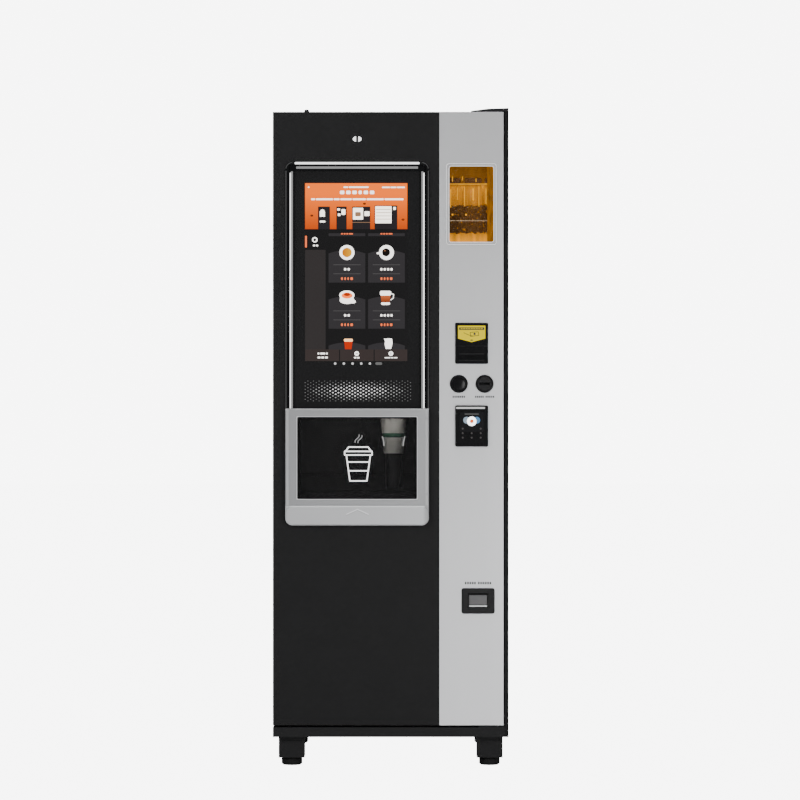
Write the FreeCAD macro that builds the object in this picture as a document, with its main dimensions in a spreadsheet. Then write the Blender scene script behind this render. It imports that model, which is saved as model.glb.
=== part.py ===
import FreeCAD
import Part
import Sketcher
import os
import re

# Bean-to-cup coffee vending machine, millimetres.  +X is the customer's right, +Y points to the
# back and +Z is up.  The origin is under the middle of the machine, on the floor.
# "Depth" is always measured backwards from the front plane of the door.

SIZES = {
    # whole machine
    "body_width": 655, "body_height": 1830, "body_depth": 700,
    # sheet metal
    "sheet": 1.5, "door_thick": 60, "door_gap": 3, "strip_width": 11,
    "plinth_height": 27, "plinth_gap": 6, "plinth_wall": 3, "frame_depth": 65, "jamb": 20,
    "overcut": 1, "slack": 0.5,
    # feet
    "foot_height": 22, "foot_radius": 29, "stem_radius": 8, "stem_clear": 0.5, "stem_length": 52,
    "housing_width": 72, "housing_height": 60, "foot_spacing": 552, "foot_inset": 60,
    "housing_cap": 4, "housing_slot": 56, "housing_slot_high": 9, "housing_slot_deep": 3, "foot_edge": 4,
    # hinge of the door
    "hinge_inset": 18, "hinge_depth": 9, "pin_radius": 5, "pin_clear": 0.05, "bush_height": 24,
    "hinge_wedge": 9.5, "hinge_reach": 104, "hinge_length": 156, "wedge_tip": 1.2, "wedge_bend": 57,
    "wedge_knee": 18, "leaf_reach": 50, "bush_wall": 6, "bush_side": 11,
    # silver skin
    "split_x": 134.5, "skin_thick": 2, "skin_seam": 2,
    # screen
    "screen_x": -93, "bezel_width": 398, "bezel_top": 1679, "bezel_low": 675, "bezel_band": 24,
    "bezel_proud": 8, "bezel_radius": 20, "groove_width": 2.4, "groove_inset": 9.5,
    "glass_thick": 3, "glass_low": 996, "display_width": 300, "display_low": 1115,
    "display_high": 1632, "display_thick": 26, "board_width": 180, "board_thick": 20, "board_margin": 130,
    "trim_deep": 2, "trim_start": 30, "small_corner": 2,
    # cup bay and its hatch
    "bay_width": 332, "bay_low": 742, "bay_high": 968, "bay_depth": 200, "bay_offset": 1,
    "hatch_low": 671, "hatch_high": 994.5, "hatch_side": 33, "hatch_clear": 1, "hatch_thick": 11,
    "hatch_proud": 24, "hatch_sill": 73, "hatch_lip": 54, "hatch_head": 23, "hatch_corner": 20,
    "hatch_travel": 270, "tongue": 1.6, "tongue_height": 40, "tongue_head": 8, "tongue_inset": 40,
    "head_thick": 3, "slot_end": 20, "slot_clear": 0.4, "window_thick": 3, "rebate": 6,
    # bean window
    "window_x": 224.3, "window_width": 139, "window_low": 1449.5, "window_high": 1675.5,
    "window_band": 8, "window_proud": 1.5, "window_corner": 8,
    # payment column
    "pay_x": 225, "bill_width": 91, "bill_low": 1119, "bill_high": 1233, "bill_proud": 6,
    "bill_body": 84, "bill_depth": 120, "mouth_width": 76, "mouth_low": 14, "mouth_high": 7,
    "mouth_deep": 5, "button_x": 189.3, "button_z": 1063.4, "button_radius": 25, "boss_radius": 21.5,
    "cap_radius": 18.6, "cap_clear": 0.4, "cap_length": 15, "button_proud": 5, "button_depth": 24,
    "coin_x": 261, "coin_slot_width": 31, "coin_slot_high": 4, "coin_boss": 14, "coin_back": 45,
    "coin_gap": 30, "chute_left": 17, "chute_right": 35, "reader_low": 889, "reader_high": 1003.5,
    "reader_proud": 10, "reader_body": 78, "reader_depth": 35, "device_edge": 1.5, "device_margin": 4,
    "return_x": 242.8, "return_width": 92, "return_low": 425, "return_high": 496, "return_hole": 56,
    "return_sill": 16, "return_head": 14, "return_wall": 4, "return_proud": 4, "return_pocket": 44,
    "coin_drop": 24, "flap_pin": 1.2, "flap_depth": 5, "flap_thick": 2, "flap_clear": 0.6,
    "flap_knuckle": 2.2,
    "changer_low": 545, "changer_high": 800, "changer_left": 175, "changer_right": 300,
    "changer_front": 8, "changer_room": 2,
    # lock
    "lock_z": 950, "lock_margin": 5, "lock_face": 5, "lock_rim": 4, "lock_grip": 8, "lock_hub": 7,
    "bar_half": 480, "bar_width": 18, "bar_thick": 4, "bar_in": 13,
    # cup handling
    "cup_radius": 27.5, "cup_mouth": 37, "cup_high": 98, "cup_wall": 0.9, "cup_base": 868,
    "cup_x": 8, "cup_depth": 150, "cup_travel": 101, "cup_floor": 4, "pedestal_radius": 23.5,
    "pedestal_low": 772, "rail_radius": 4, "rail_z": 806, "rail_depth": 240, "claw_thick": 3.5,
    "claw_high": 28, "claw_gap": 6, "claw_pin": 3, "claw_spread": 20, "claw_back": 46, "claw_sector": 110,
    "claw_hub": 7, "claw_link": 6, "arm_half": 9, "block_width": 52, "block_half": 12, "block_high": 14,
    "post_front": 32, "post_half": 8, "head_thick_up": 9, "rail_clear": 0.3,
    "turret_radius": 88, "turret_tube": 41.5, "turret_low": 1006, "turret_high": 1420,
    "turret_shaft": 8, "tube_wall": 2, "turret_disc": 100, "turret_disc_thick": 6, "turret_disc_drop": 60,
    # nozzle and drip tray
    "nozzle_radius": 12, "nozzle_pass": 14, "collar_radius": 18, "collar_thick": 6, "spout_radius": 2.5,
    "spout_pitch": 7, "spout_drop": 6.5, "tray_high": 20, "tray_clear": 4, "tray_wall": 2,
    "bar_pitch": 12, "bar_size": 4, "tray_back": 15,
    # shelves inside
    "back_depth": 380, "bay_deck": 732, "turret_deck": 1000, "brewer_deck": 1057,
    "grinder_deck": 1307, "mixer_deck": 1326, "canister_deck": 1477, "hopper_deck": 1437,
    "column_left": 145, "column_right": 310, "column_front": 150, "middle_left": -130,
    "tubs_left": -318, "tubs_right": -128, "mixer_left": -300, "mixer_right": -150, "mixer_front": 100,
    "boiler_left": -310, "boiler_right": -190, "boiler_shelf": 130, "back_over": 60,
    # coffee side
    "hopper_width": 150, "hopper_front": 72, "hopper_back": 245, "hopper_high": 1700,
    "hopper_wall": 3, "lid_thick": 6, "lid_pin": 2.5, "lid_over": 2, "lid_gap": 0.5, "ear": 4, "pin_back": 5,
    "pin_up": 3.5, "bean_throat": 20, "grinder_depth": 200, "grinder_radius": 45, "motor_high": 60,
    "burr_high": 35, "burr_over": 8, "neck_radius": 26, "brewer_at": 265, "brewer_width": 110,
    "brewer_depth": 120, "brewer_high": 150, "brewer_well": 60, "brewer_columns": 40,
    "piston_radius": 22, "piston_clear": 0.3, "piston_stem": 7, "piston_low": 128, "piston_high": 18,
    # powder side
    "canister_x": -222.5, "canister_width": 175, "canister_front": 122, "canister_back": 300,
    "canister_high": 1700, "auger_radius": 11, "auger_shaft": 4, "auger_pitch": 16, "flight": 2.5,
    "auger_front": 26, "spout_wall": 2, "spout_clear": 1.5, "spout_length": 30, "spout_mouth": 18,
    "whip_radius": 22, "whip_shaft": 3, "whip_room": 5, "whip_wall": 3, "whip_front": 38, "whip_back": 8,
    "funnel_up": 36, "funnel_high": 46, "funnel_inset": 22, "funnel_drop": 12, "mixer_half": 22,
    "mixer_motor_half": 26, "mixer_motor_front": 32, "mixer_motor_back": 84,
    # water, waste and power
    "bottle_radius": 135, "bottle_high": 390, "bottle_x": -170, "bottle_depth": 480, "bottle_neck": 28,
    "bottle_shoulder": 60, "boiler_x": -250, "boiler_radius": 50, "boiler_high": 300, "boiler_cap": 22,
    "boiler_stub": 9, "pump_left": 60, "pump_right": 150, "pump_front": 480, "pump_back": 600,
    "pump_base": 12, "pump_radius": 30, "pump_head": 75, "bin_left": 60, "bin_width": 230,
    "bin_front": 80, "bin_back": 330, "bin_high": 308, "bin_wall": 2.5,
    "supply_left": 60, "supply_right": 220, "supply_low": 700, "supply_high": 900, "supply_deep": 70,
    # rear
    "head_proud": 2.5, "head_radius": 5, "shank_radius": 2, "shank_length": 12, "screw_margin": 60,
    "anchor_radius": 4.5, "anchor_spacing": 480, "anchor_z": 1780, "vent_width": 220, "vent_high": 5,
    "vent_pitch": 14, "vent_low": 1420, "inlet_x": 230, "inlet_z": 175, "inlet_width": 48,
    "inlet_high": 40, "inlet_length": 40, "inlet_well": 22, "inlet_side": 4, "inlet_rim": 6,
    "prong_pitch": 10, "prong": 4,
}

# places that follow from the sizes
FRONT = "((hatch_proud - head_proud - body_depth) / 2)"
LEFT = "(-body_width / 2)"
RIGHT = "(body_width / 2)"
BACK = "body_depth"
LEG_TOP = "(foot_height + housing_height)"
PLINTH_TOP = f"({LEG_TOP} + plinth_height)"
DOOR_LOW = f"({PLINTH_TOP} + plinth_gap)"
ROOF_TOP = "(body_height - hinge_wedge)"
DOOR_TOP = f"({ROOF_TOP} - sheet)"
STRIP = f"({RIGHT} - strip_width)"
DOOR_RIGHT = f"({STRIP} - door_gap)"
PIVOT = f"({DOOR_RIGHT} - hinge_inset)"
BORE = "(pin_radius + pin_clear)"
JOG = "(skin_thick + sheet)"
INNER_BACK = "(door_thick - sheet)"
LOCK_RADIUS = "(door_thick / 2 - lock_margin)"
BEZEL_LEFT = "(screen_x - bezel_width / 2)"
BEZEL_RIGHT = "(screen_x + bezel_width / 2)"
BAY_X = "(screen_x + bay_offset)"
BAY_LEFT = f"({BAY_X} - bay_width / 2)"
BAY_RIGHT = f"({BAY_X} + bay_width / 2)"
LINER = "(sheet + 2)"
LINER_FRONT = "(frame_depth + sheet + slack)"
LINER_BACK = f"({LINER_FRONT} + bay_depth)"
LINER_TOP = f"(bay_high + {LINER} + sheet)"
SIDE_IN = "(body_width / 2 - sheet)"
MIXER_Z = "(mixer_deck + sheet * 2 + 33)"
HOPPER_LEFT = "(pay_x - hopper_width / 2)"
HOPPER_RIGHT = "(pay_x + hopper_width / 2)"
CANISTER_LEFT = "(canister_x - canister_width / 2)"
CANISTER_RIGHT = "(canister_x + canister_width / 2)"
DECK = "(sheet * 2)"
FLOOR_TOP = f"({PLINTH_TOP} + sheet)"
TONGUE_RUN = ("hatch_low + slot_end", "hatch_high + hatch_travel - slot_end")

document = FreeCAD.newDocument("coffee_vending_machine")
sheet_object = document.addObject("Spreadsheet::Sheet", "Sizes")
for row, (alias, value) in enumerate(SIZES.items(), 1):
    sheet_object.set(f"A{row}", str(value))
    sheet_object.setAlias(f"A{row}", alias)
document.recompute()

NODES = {}


def formula(text):
    """Turn a formula of size names into one that reads the sheet's cells."""
    return re.sub(r"[a-z_]+", lambda word: "Sizes." + word.group() if word.group() in SIZES
                  else word.group(), str(text))


def number(text):
    """Value of a formula now, for a first guess that the bound formula then replaces."""
    value = sheet_object.evalExpression(formula(text))
    return float(getattr(value, "Value", value))


def bind(thing, prop, text):
    thing.setExpression(prop, formula(text))


def place(thing, x, depth, z):
    bind(thing, "Placement.Base.x", x)
    bind(thing, "Placement.Base.y", f"{FRONT} + ({depth})")
    bind(thing, "Placement.Base.z", z)


def node(label, thing):
    """Name a finished piece; the label is its node's name."""
    thing.Label = label
    NODES[label] = thing
    return thing


def box(name, x, depth, z):
    """Block between two x, two depths and two heights."""
    solid = document.addObject("Part::Box", name)
    bind(solid, "Length", f"({x[1]}) - ({x[0]})")
    bind(solid, "Width", f"({depth[1]}) - ({depth[0]})")
    bind(solid, "Height", f"({z[1]}) - ({z[0]})")
    place(solid, x[0], depth[0], z[0])
    return solid


def turn_to(thing, axis):
    """Lay a primitive that stands along Z down along another axis."""
    about = {"x": (FreeCAD.Vector(0, 1, 0), 90), "y": (FreeCAD.Vector(1, 0, 0), -90)}
    if axis in about:
        thing.Placement.Rotation = FreeCAD.Rotation(*about[axis])


def rod(name, axis, radius, ends, across, sector=None, start=0):
    """Cylinder along an axis between two ends; across gives its two other coordinates."""
    solid = document.addObject("Part::Cylinder", name)
    turn_to(solid, axis)
    bind(solid, "Radius", radius)
    bind(solid, "Height", f"({ends[1]}) - ({ends[0]})")
    if sector:
        bind(solid, "Angle", sector)
        solid.Placement.Rotation = FreeCAD.Rotation(FreeCAD.Vector(0, 0, 1), start)
    first, second = across
    spots = {"x": (ends[0], first, second), "y": (first, ends[0], second),
             "z": (first, second, ends[0])}
    place(solid, *spots[axis])
    return solid


def cone(name, low_radius, high_radius, ends, across):
    """Upright frustum."""
    solid = document.addObject("Part::Cone", name)
    bind(solid, "Radius1", low_radius)
    bind(solid, "Radius2", high_radius)
    bind(solid, "Height", f"({ends[1]}) - ({ends[0]})")
    place(solid, across[0], across[1], ends[0])
    return solid


def fuse(name, *pieces):
    joined = document.addObject("Part::MultiFuse", name)
    joined.Shapes = list(pieces)
    joined.Refine = True
    return joined


def group(name, *pieces):
    """Identical separate pieces kept as one node."""
    together = document.addObject("Part::Compound", name)
    together.Links = list(pieces)
    return together


def cut(name, base, *tools):
    carved = document.addObject("Part::Cut", name)
    carved.Base = base
    carved.Tool = tools[0] if len(tools) == 1 else fuse(name + "_tools", *tools)
    return carved


def sketch_on(body, name, role, offset):
    """Sketch on one of the body's origin planes, moved along the plane's normal."""
    sketch = body.newObject("Sketcher::SketchObject", name)
    plane = [item for item in body.Origin.OriginFeatures if item.Role == role][0]
    sketch.AttachmentSupport = (plane, [""])
    sketch.MapMode = "FlatFace"
    bind(sketch, "AttachmentOffset.Base.z", offset)
    return sketch


def outline(sketch, points):
    """Closed polygon whose corners are each held by two named distances from the origin."""
    places = [FreeCAD.Vector(number(u), number(v), 0) for u, v in points]
    for index, spot in enumerate(places):
        sketch.addGeometry(Part.LineSegment(spot, places[(index + 1) % len(places)]))
    for index in range(len(points)):
        sketch.addConstraint(Sketcher.Constraint("Coincident", index, 2,
                                                 (index + 1) % len(points), 1))
    for index, (u, v) in enumerate(points):
        for kind, text, letter in (("DistanceX", u, "u"), ("DistanceY", v, "v")):
            at = sketch.addConstraint(Sketcher.Constraint(kind, -1, 1, index, 1, number(text)))
            sketch.renameConstraint(at, f"{letter}{index}")
            bind(sketch, f"Constraints.{letter}{index}", text)


def disc_outline(sketch, u, v, radius):
    sketch.addGeometry(Part.Circle(FreeCAD.Vector(number(u), number(v), 0),
                                   FreeCAD.Vector(0, 0, 1), number(radius)))
    for kind, text, word in (("DistanceX", u, "across"), ("DistanceY", v, "up")):
        at = sketch.addConstraint(Sketcher.Constraint(kind, -1, 1, 0, 3, number(text)))
        sketch.renameConstraint(at, word)
        bind(sketch, f"Constraints.{word}", text)
    at = sketch.addConstraint(Sketcher.Constraint("Radius", 0, number(radius)))
    sketch.renameConstraint(at, "radius")
    bind(sketch, "Constraints.radius", radius)


def pad(body, name, sketch, length):
    feature = body.newObject("PartDesign::Pad", name)
    feature.Profile = sketch
    bind(feature, "Length", length)
    document.recompute()
    return feature


def pocket(body, name, sketch, length):
    """Pocket that starts at its sketch and goes backwards; it must remove something."""
    before = body.Shape.Volume
    feature = body.newObject("PartDesign::Pocket", name)
    feature.Profile = sketch
    bind(feature, "Length", length)
    document.recompute()
    if body.Shape.Volume >= before - 0.1:
        raise ValueError(f"{name} removes nothing")
    return feature


def corners(x, z):
    return [(x[0], z[0]), (x[1], z[0]), (x[1], z[1]), (x[0], z[1])]


def soften(body, feature, name, kind, size, wanted):
    """Fillet or chamfer of the edges that the test picks, on the body's last feature."""
    names = [f"Edge{index}" for index, edge in enumerate(feature.Shape.Edges, 1) if wanted(edge)]
    dressed = body.newObject(kind, name)
    dressed.Base = (feature, names)
    bind(dressed, "Radius" if kind.endswith("Fillet") else "Size", size)
    document.recompute()
    return dressed


def runs_back(edge):
    """True for a straight edge that runs along Y."""
    if edge.Curve.TypeId != "Part::GeomLine":
        return False
    return abs(edge.tangentAt(edge.FirstParameter).y) > 0.999


def lies_at(depth):
    """Test for edges that lie wholly in the plane at this depth."""
    level = number(f"{FRONT} + ({depth})")
    return lambda edge: abs(edge.BoundBox.YMin - level) < 0.01 and abs(edge.BoundBox.YMax - level) < 0.01


def plate(name, x, depth, z, radius=None, edge=None, low_radius=None):
    """Plate padded forwards from its back face, with rounded corners and a softened front."""
    body = document.addObject("PartDesign::Body", name)
    sketch = sketch_on(body, name + "_outline", "XZ_Plane", f"-({FRONT} + ({depth[1]}))")
    outline(sketch, corners(x, z))
    last = pad(body, name + "_pad", sketch, f"({depth[1]}) - ({depth[0]})")
    if radius:
        last = soften(body, last, name + "_corners", "PartDesign::Fillet", radius, runs_back)
    if low_radius:
        middle = number(f"(({z[0]}) + ({z[1]})) / 2")
        last = soften(body, last, name + "_low_corners", "PartDesign::Fillet", low_radius,
                      lambda line: runs_back(line) and line.CenterOfMass.z < middle)
    if edge:
        soften(body, last, name + "_edge", "PartDesign::Chamfer", edge, lies_at(depth[0]))
    return body


def window(body, name, x, depth, z, radius=None):
    """Rectangular opening in a plate, with rounded corners."""
    sketch = sketch_on(body, name + "_outline", "XZ_Plane", f"-({FRONT} + ({depth[0]}))")
    outline(sketch, corners(x, z))
    known = [(edge.CenterOfMass.x, edge.CenterOfMass.z) for edge in body.Shape.Edges]
    last = pocket(body, name, sketch, f"({depth[1]}) - ({depth[0]})")
    if not radius:
        return last
    inside = [(number(u), number(v)) for u, v in corners(x, z)]

    def at_corner(edge):
        middle = edge.CenterOfMass
        near = any(abs(middle.x - u) < 0.1 and abs(middle.z - v) < 0.1 for u, v in inside)
        return near and runs_back(edge) and (middle.x, middle.z) not in known
    return soften(body, last, name + "_corners", "PartDesign::Fillet", radius, at_corner)


def round_plate(name, x, z, radius, depth, edge=None):
    """Disc facing the customer."""
    body = document.addObject("PartDesign::Body", name)
    sketch = sketch_on(body, name + "_outline", "XZ_Plane", f"-({FRONT} + ({depth[1]}))")
    disc_outline(sketch, x, z, radius)
    last = pad(body, name + "_pad", sketch, f"({depth[1]}) - ({depth[0]})")
    if edge:
        soften(body, last, name + "_edge", "PartDesign::Chamfer", edge, lies_at(depth[0]))
    return body


def tray(name, x, depth, z, wall, floor):
    """Open-topped box with a floor."""
    outer = box(name + "_outer", x, depth, z)
    inner = box(name + "_inner", (f"{x[0]} + {wall}", f"{x[1]} - {wall}"),
                (f"{depth[0]} + {wall}", f"{depth[1]} - {wall}"), (f"{z[0]} + {floor}", f"{z[1]} + 1"))
    return cut(name, outer, inner)


# ---------------------------------------------------------------- cabinet

def cabinet():
    cheek = f"({SIDE_IN} - jamb)"
    jamb_depth = ("frame_depth", "frame_depth + sheet")
    behind_door = ("frame_depth", BACK)
    above_floor = (f"{PLINTH_TOP} + sheet", DOOR_TOP)
    node("side_panel_left", fuse(
        "left_side",
        box("left_sheet", (LEFT, f"{LEFT} + sheet"), behind_door, (PLINTH_TOP, DOOR_TOP)),
        box("left_jamb", (LEFT, f"-{cheek}"), jamb_depth, above_floor)))
    strip = cut("strip", box("strip_outer", (STRIP, RIGHT), ("0", "frame_depth"), (LEG_TOP, ROOF_TOP)),
                box("strip_hollow", (f"{STRIP} + sheet", f"{RIGHT} - sheet"),
                    ("sheet", "frame_depth - sheet"), (f"{LEG_TOP} - overcut", f"{ROOF_TOP} - sheet")))
    node("side_panel_right", fuse(
        "right_side", strip,
        box("right_sheet", (f"{RIGHT} - sheet", RIGHT), behind_door, (LEG_TOP, ROOF_TOP)),
        box("right_jamb", (f"{PIVOT} - jamb", RIGHT), jamb_depth, above_floor)))
    lip_x = (f"-{cheek}", f"{PIVOT} - jamb")
    node("roof_panel", fuse(
        "roof", box("roof_sheet", (LEFT, SIDE_IN), behind_door, (DOOR_TOP, ROOF_TOP)),
        box("roof_lip", lip_x, jamb_depth, (f"{DOOR_TOP} - jamb", DOOR_TOP))))
    node("floor_pan", fuse(
        "floor", box("floor_sheet", (f"-{SIDE_IN}", SIDE_IN), ("frame_depth", f"{BACK} - sheet"),
                     (PLINTH_TOP, FLOOR_TOP)),
        box("floor_lip", lip_x, jamb_depth, (FLOOR_TOP, f"{PLINTH_TOP} + jamb"))))
    plinth()


def plinth():
    """Skirt under the cabinet: a closed nose under the door, rails behind it and two bars for the feet."""
    nose_back = "(frame_depth + jamb)"
    hollow_low = f"{LEG_TOP} - overcut"
    nose = cut("nose", box("nose_outer", (LEFT, STRIP), ("0", nose_back), (LEG_TOP, PLINTH_TOP)),
               box("nose_hollow", (f"{LEFT} + plinth_wall", f"{STRIP} - plinth_wall"),
                   ("plinth_wall", f"{nose_back} + overcut"), (hollow_low, f"{PLINTH_TOP} - sheet")))
    right = f"({RIGHT} - sheet)"
    rails = cut("rails", box("rails_outer", (LEFT, right), (nose_back, f"{BACK} - sheet"),
                             (LEG_TOP, PLINTH_TOP)),
                box("rails_hollow", (f"{LEFT} + plinth_wall", f"{right} - plinth_wall"),
                    ("frame_depth", f"{BACK} - sheet - plinth_wall"),
                    (hollow_low, f"{PLINTH_TOP} + overcut")))
    bars = []
    for end, x_end, depth in (("front", STRIP, "foot_inset"), ("rear", right, f"({BACK} - foot_inset)")):
        reach = (f"{depth} - housing_width / 2", f"{depth} + housing_width / 2")
        bars.append(box(f"{end}_foot_bar", (LEFT, x_end), reach, (LEG_TOP, f"{LEG_TOP} + plinth_wall")))
    node("base_plinth", fuse("plinth_all", nose, rails, *bars))


def rear():
    """Rear panel with its screws, wall anchor holes, vents and the mains inlet."""
    through = (f"{BACK} - sheet - overcut", f"{BACK} + overcut")
    holes = []
    for side in (-1, 1):
        holes.append(rod(f"anchor_hole_{side + 1}", "y", "anchor_radius", through,
                         (f"{side} * anchor_spacing / 2", "anchor_z")))
    screws = []
    rows = 5
    for side in (-1, 1):
        for step in range(rows):
            rise = f"({DOOR_TOP} - {PLINTH_TOP} - screw_margin * 2) / {rows - 1}"
            spot = (f"{side} * ({SIDE_IN} - jamb / 2)", f"{PLINTH_TOP} + screw_margin + {step} * {rise}")
            tag = f"{side + 1}_{step}"
            holes.append(rod(f"screw_hole_{tag}", "y", "shank_radius + stem_clear / 2", through, spot))
            head = rod(f"screw_head_{tag}", "y", "head_radius", (BACK, f"{BACK} + head_proud"), spot)
            shank = rod(f"screw_shank_{tag}", "y", "shank_radius", (f"{BACK} - shank_length", BACK), spot)
            screws.append(fuse(f"screw_{tag}", head, shank))
    for row in range(10):
        low = f"(vent_low + {row} * vent_pitch)"
        holes.append(box(f"vent_{row}", ("-vent_width / 2", "vent_width / 2"), through,
                         (low, f"{low} + vent_high")))
    inlet_x = ("inlet_x - inlet_width / 2", "inlet_x + inlet_width / 2")
    inlet_z = ("inlet_z - inlet_high / 2", "inlet_z + inlet_high / 2")
    holes.append(box("inlet_hole", inlet_x, through, inlet_z))
    panel = plate("rear_sheet", (f"-{SIDE_IN}", SIDE_IN), (f"{BACK} - sheet", BACK), (PLINTH_TOP, DOOR_TOP))
    node("rear_panel", cut("rear", panel, *holes))
    node("panel_screws", group("screws", *screws))
    shell = box("inlet_body", inlet_x, (f"{BACK} - inlet_length", BACK), inlet_z)
    well = box("inlet_space", (f"{inlet_x[0]} + inlet_side", f"{inlet_x[1]} - inlet_side"),
               (f"{BACK} - inlet_well", f"{BACK} + overcut"),
               (f"{inlet_z[0]} + inlet_rim", f"{inlet_z[1]} - inlet_rim"))
    prongs = []
    for step in (-1, 0, 1):
        x = f"(inlet_x + ({step}) * prong_pitch)"
        prongs.append(box(f"inlet_prong_{step}", (f"{x} - prong / 2", f"{x} + prong / 2"),
                          (f"{BACK} - inlet_well", f"{BACK} - prong"),
                          ("inlet_z - prong", "inlet_z + prong")))
    node("mains_inlet", fuse("inlet", cut("inlet_shell", shell, well), *prongs))


def hinges():
    """Wedge on the roof with the upper pin, and the leaf on the plinth with the lower pin."""
    body = document.addObject("PartDesign::Body", "upper_wedge")
    sketch = sketch_on(body, "upper_wedge_outline", "XZ_Plane", f"-({FRONT} + hinge_length)")
    left = f"({RIGHT} - hinge_reach)"
    outline(sketch, [(left, ROOF_TOP), (RIGHT, ROOF_TOP), (RIGHT, "body_height"),
                     (f"{RIGHT} - wedge_knee", "body_height - 1"),
                     (f"{RIGHT} - wedge_bend", "body_height - 2"), (left, f"{ROOF_TOP} + wedge_tip")])
    pad(body, "upper_wedge_pad", sketch, "hinge_length")
    pivot = (PIVOT, "hinge_depth")
    pin = rod("upper_pin", "z", "pin_radius", (f"{DOOR_TOP} - bush_height", ROOF_TOP), pivot)
    node("upper_hinge_bracket", fuse("upper_hinge", body, pin))
    leaf = box("lower_leaf", (f"{PIVOT} - leaf_reach", STRIP), ("0", "frame_depth"),
               (PLINTH_TOP, f"{PLINTH_TOP} + plinth_wall"))
    low_pin = rod("lower_pin", "z", "pin_radius", (PLINTH_TOP, f"{DOOR_LOW} + bush_height"), pivot)
    node("lower_hinge_bracket", fuse("lower_hinge", leaf, low_pin))


def foot(name, x, depth):
    """Levelling foot: a disc with a turned edge and the stem that runs up its housing."""
    body = document.addObject("PartDesign::Body", "foot_" + name + "_body")
    sketch = sketch_on(body, "foot_" + name + "_profile", "XZ_Plane", "0")
    top = "foot_height + stem_length"
    outline(sketch, [("0", "0"), ("foot_radius - foot_edge", "0"), ("foot_radius", "foot_edge"),
                     ("foot_radius", "foot_height - foot_edge"), ("foot_radius - 3", "foot_height - overcut"),
                     ("stem_radius", "foot_height - overcut"), ("stem_radius", top), ("0", top)])
    turned = body.newObject("PartDesign::Revolution", "foot_" + name + "_turned")
    turned.Profile = sketch
    turned.ReferenceAxis = (sketch, ["V_Axis"])
    turned.Angle = 360
    document.recompute()
    place(body, x, depth, "0")
    node("foot_" + name, body)


def leg_housing(name, x, depth):
    """Square housing of one foot, with a lifting slot in its front and its back."""
    half = "housing_width / 2"
    shell = box("housing_" + name, (f"{x} - {half}", f"{x} + {half}"),
                (f"{depth} - {half}", f"{depth} + {half}"), ("foot_height + slack", LEG_TOP))
    bore = rod("bore_" + name, "z", "stem_radius + stem_clear", ("foot_height", f"{LEG_TOP} - housing_cap"),
               (x, depth))
    slots = []
    for face in (-1, 1):
        wall = f"({depth} + ({face}) * {half})"
        slots.append(box(f"slot_{name}_{face}", (f"{x} - housing_slot / 2", f"{x} + housing_slot / 2"),
                         (f"{wall} - housing_slot_deep", f"{wall} + housing_slot_deep"),
                         (f"{LEG_TOP} - housing_cap - housing_slot_high", f"{LEG_TOP} - housing_cap")))
    return cut("leg_" + name, shell, bore, *slots)


def feet():
    housings = []
    for side, side_name in ((-1, "left"), (1, "right")):
        for depth, depth_name in (("foot_inset", "front"), ("(body_depth - foot_inset)", "rear")):
            name = f"{depth_name}_{side_name}"
            x = f"({side} * foot_spacing / 2)"
            housings.append(leg_housing(name, x, depth))
            foot(name, x, depth)
    node("leg_housings", group("legs", *housings))


def equipment_frame():
    """Back plate and the shelves that carry the works, with the passages between them."""
    full = (f"-{SIDE_IN}", SIDE_IN)
    column = ("column_left", "column_right")
    shelves = [("bay_shelf", full, LINER_FRONT, "bay_deck"),
               ("turret_shelf", ("middle_left", "column_left"), LINER_FRONT, "turret_deck"),
               ("brewer_shelf", column, "column_front", "brewer_deck"),
               ("grinder_shelf", column, "column_front", "grinder_deck"),
               ("hopper_shelf", column, "mixer_front", "hopper_deck"),
               ("canister_shelf", ("tubs_left", "tubs_right"), "canister_front", "canister_deck"),
               ("mixer_shelf", ("mixer_left", "mixer_right"), "mixer_front", "mixer_deck")]
    parts = [box(name, x, (front, "back_depth"), (low, f"{low} + {DECK}")) for name, x, front, low in shelves]
    parts.append(box("back_plate", full, ("back_depth", f"back_depth + {DECK}"),
                     ("bay_deck", "canister_high + back_over")))
    parts.append(box("boiler_shelf_plate", ("boiler_left", "boiler_right"),
                     ("back_depth", "back_depth + boiler_shelf"), ("brewer_deck", f"brewer_deck + {DECK}")))
    passages = [("cup_drop", "turret_tube", "turret_deck", "cup_x", "cup_depth"),
                ("turret_bore", "turret_shaft + pin_clear", "turret_deck", "cup_x",
                 "cup_depth + turret_radius"),
                ("bean_bore", "bean_throat", "hopper_deck", "pay_x", "grinder_depth"),
                ("nozzle_bore", "nozzle_pass", "turret_deck", "cup_x - cup_travel", "cup_depth"),
                ("piston_pass", "piston_stem + overcut", "grinder_deck", "pay_x", "brewer_at")]
    bores = [rod(name, "z", radius, (f"{deck} - overcut", f"{deck} + {DECK} + overcut"), (x, depth))
             for name, radius, deck, x, depth in passages]
    node("equipment_frame", cut("equipment", fuse("shelves", *parts), *bores))


# ---------------------------------------------------------------- cup bay

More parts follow.
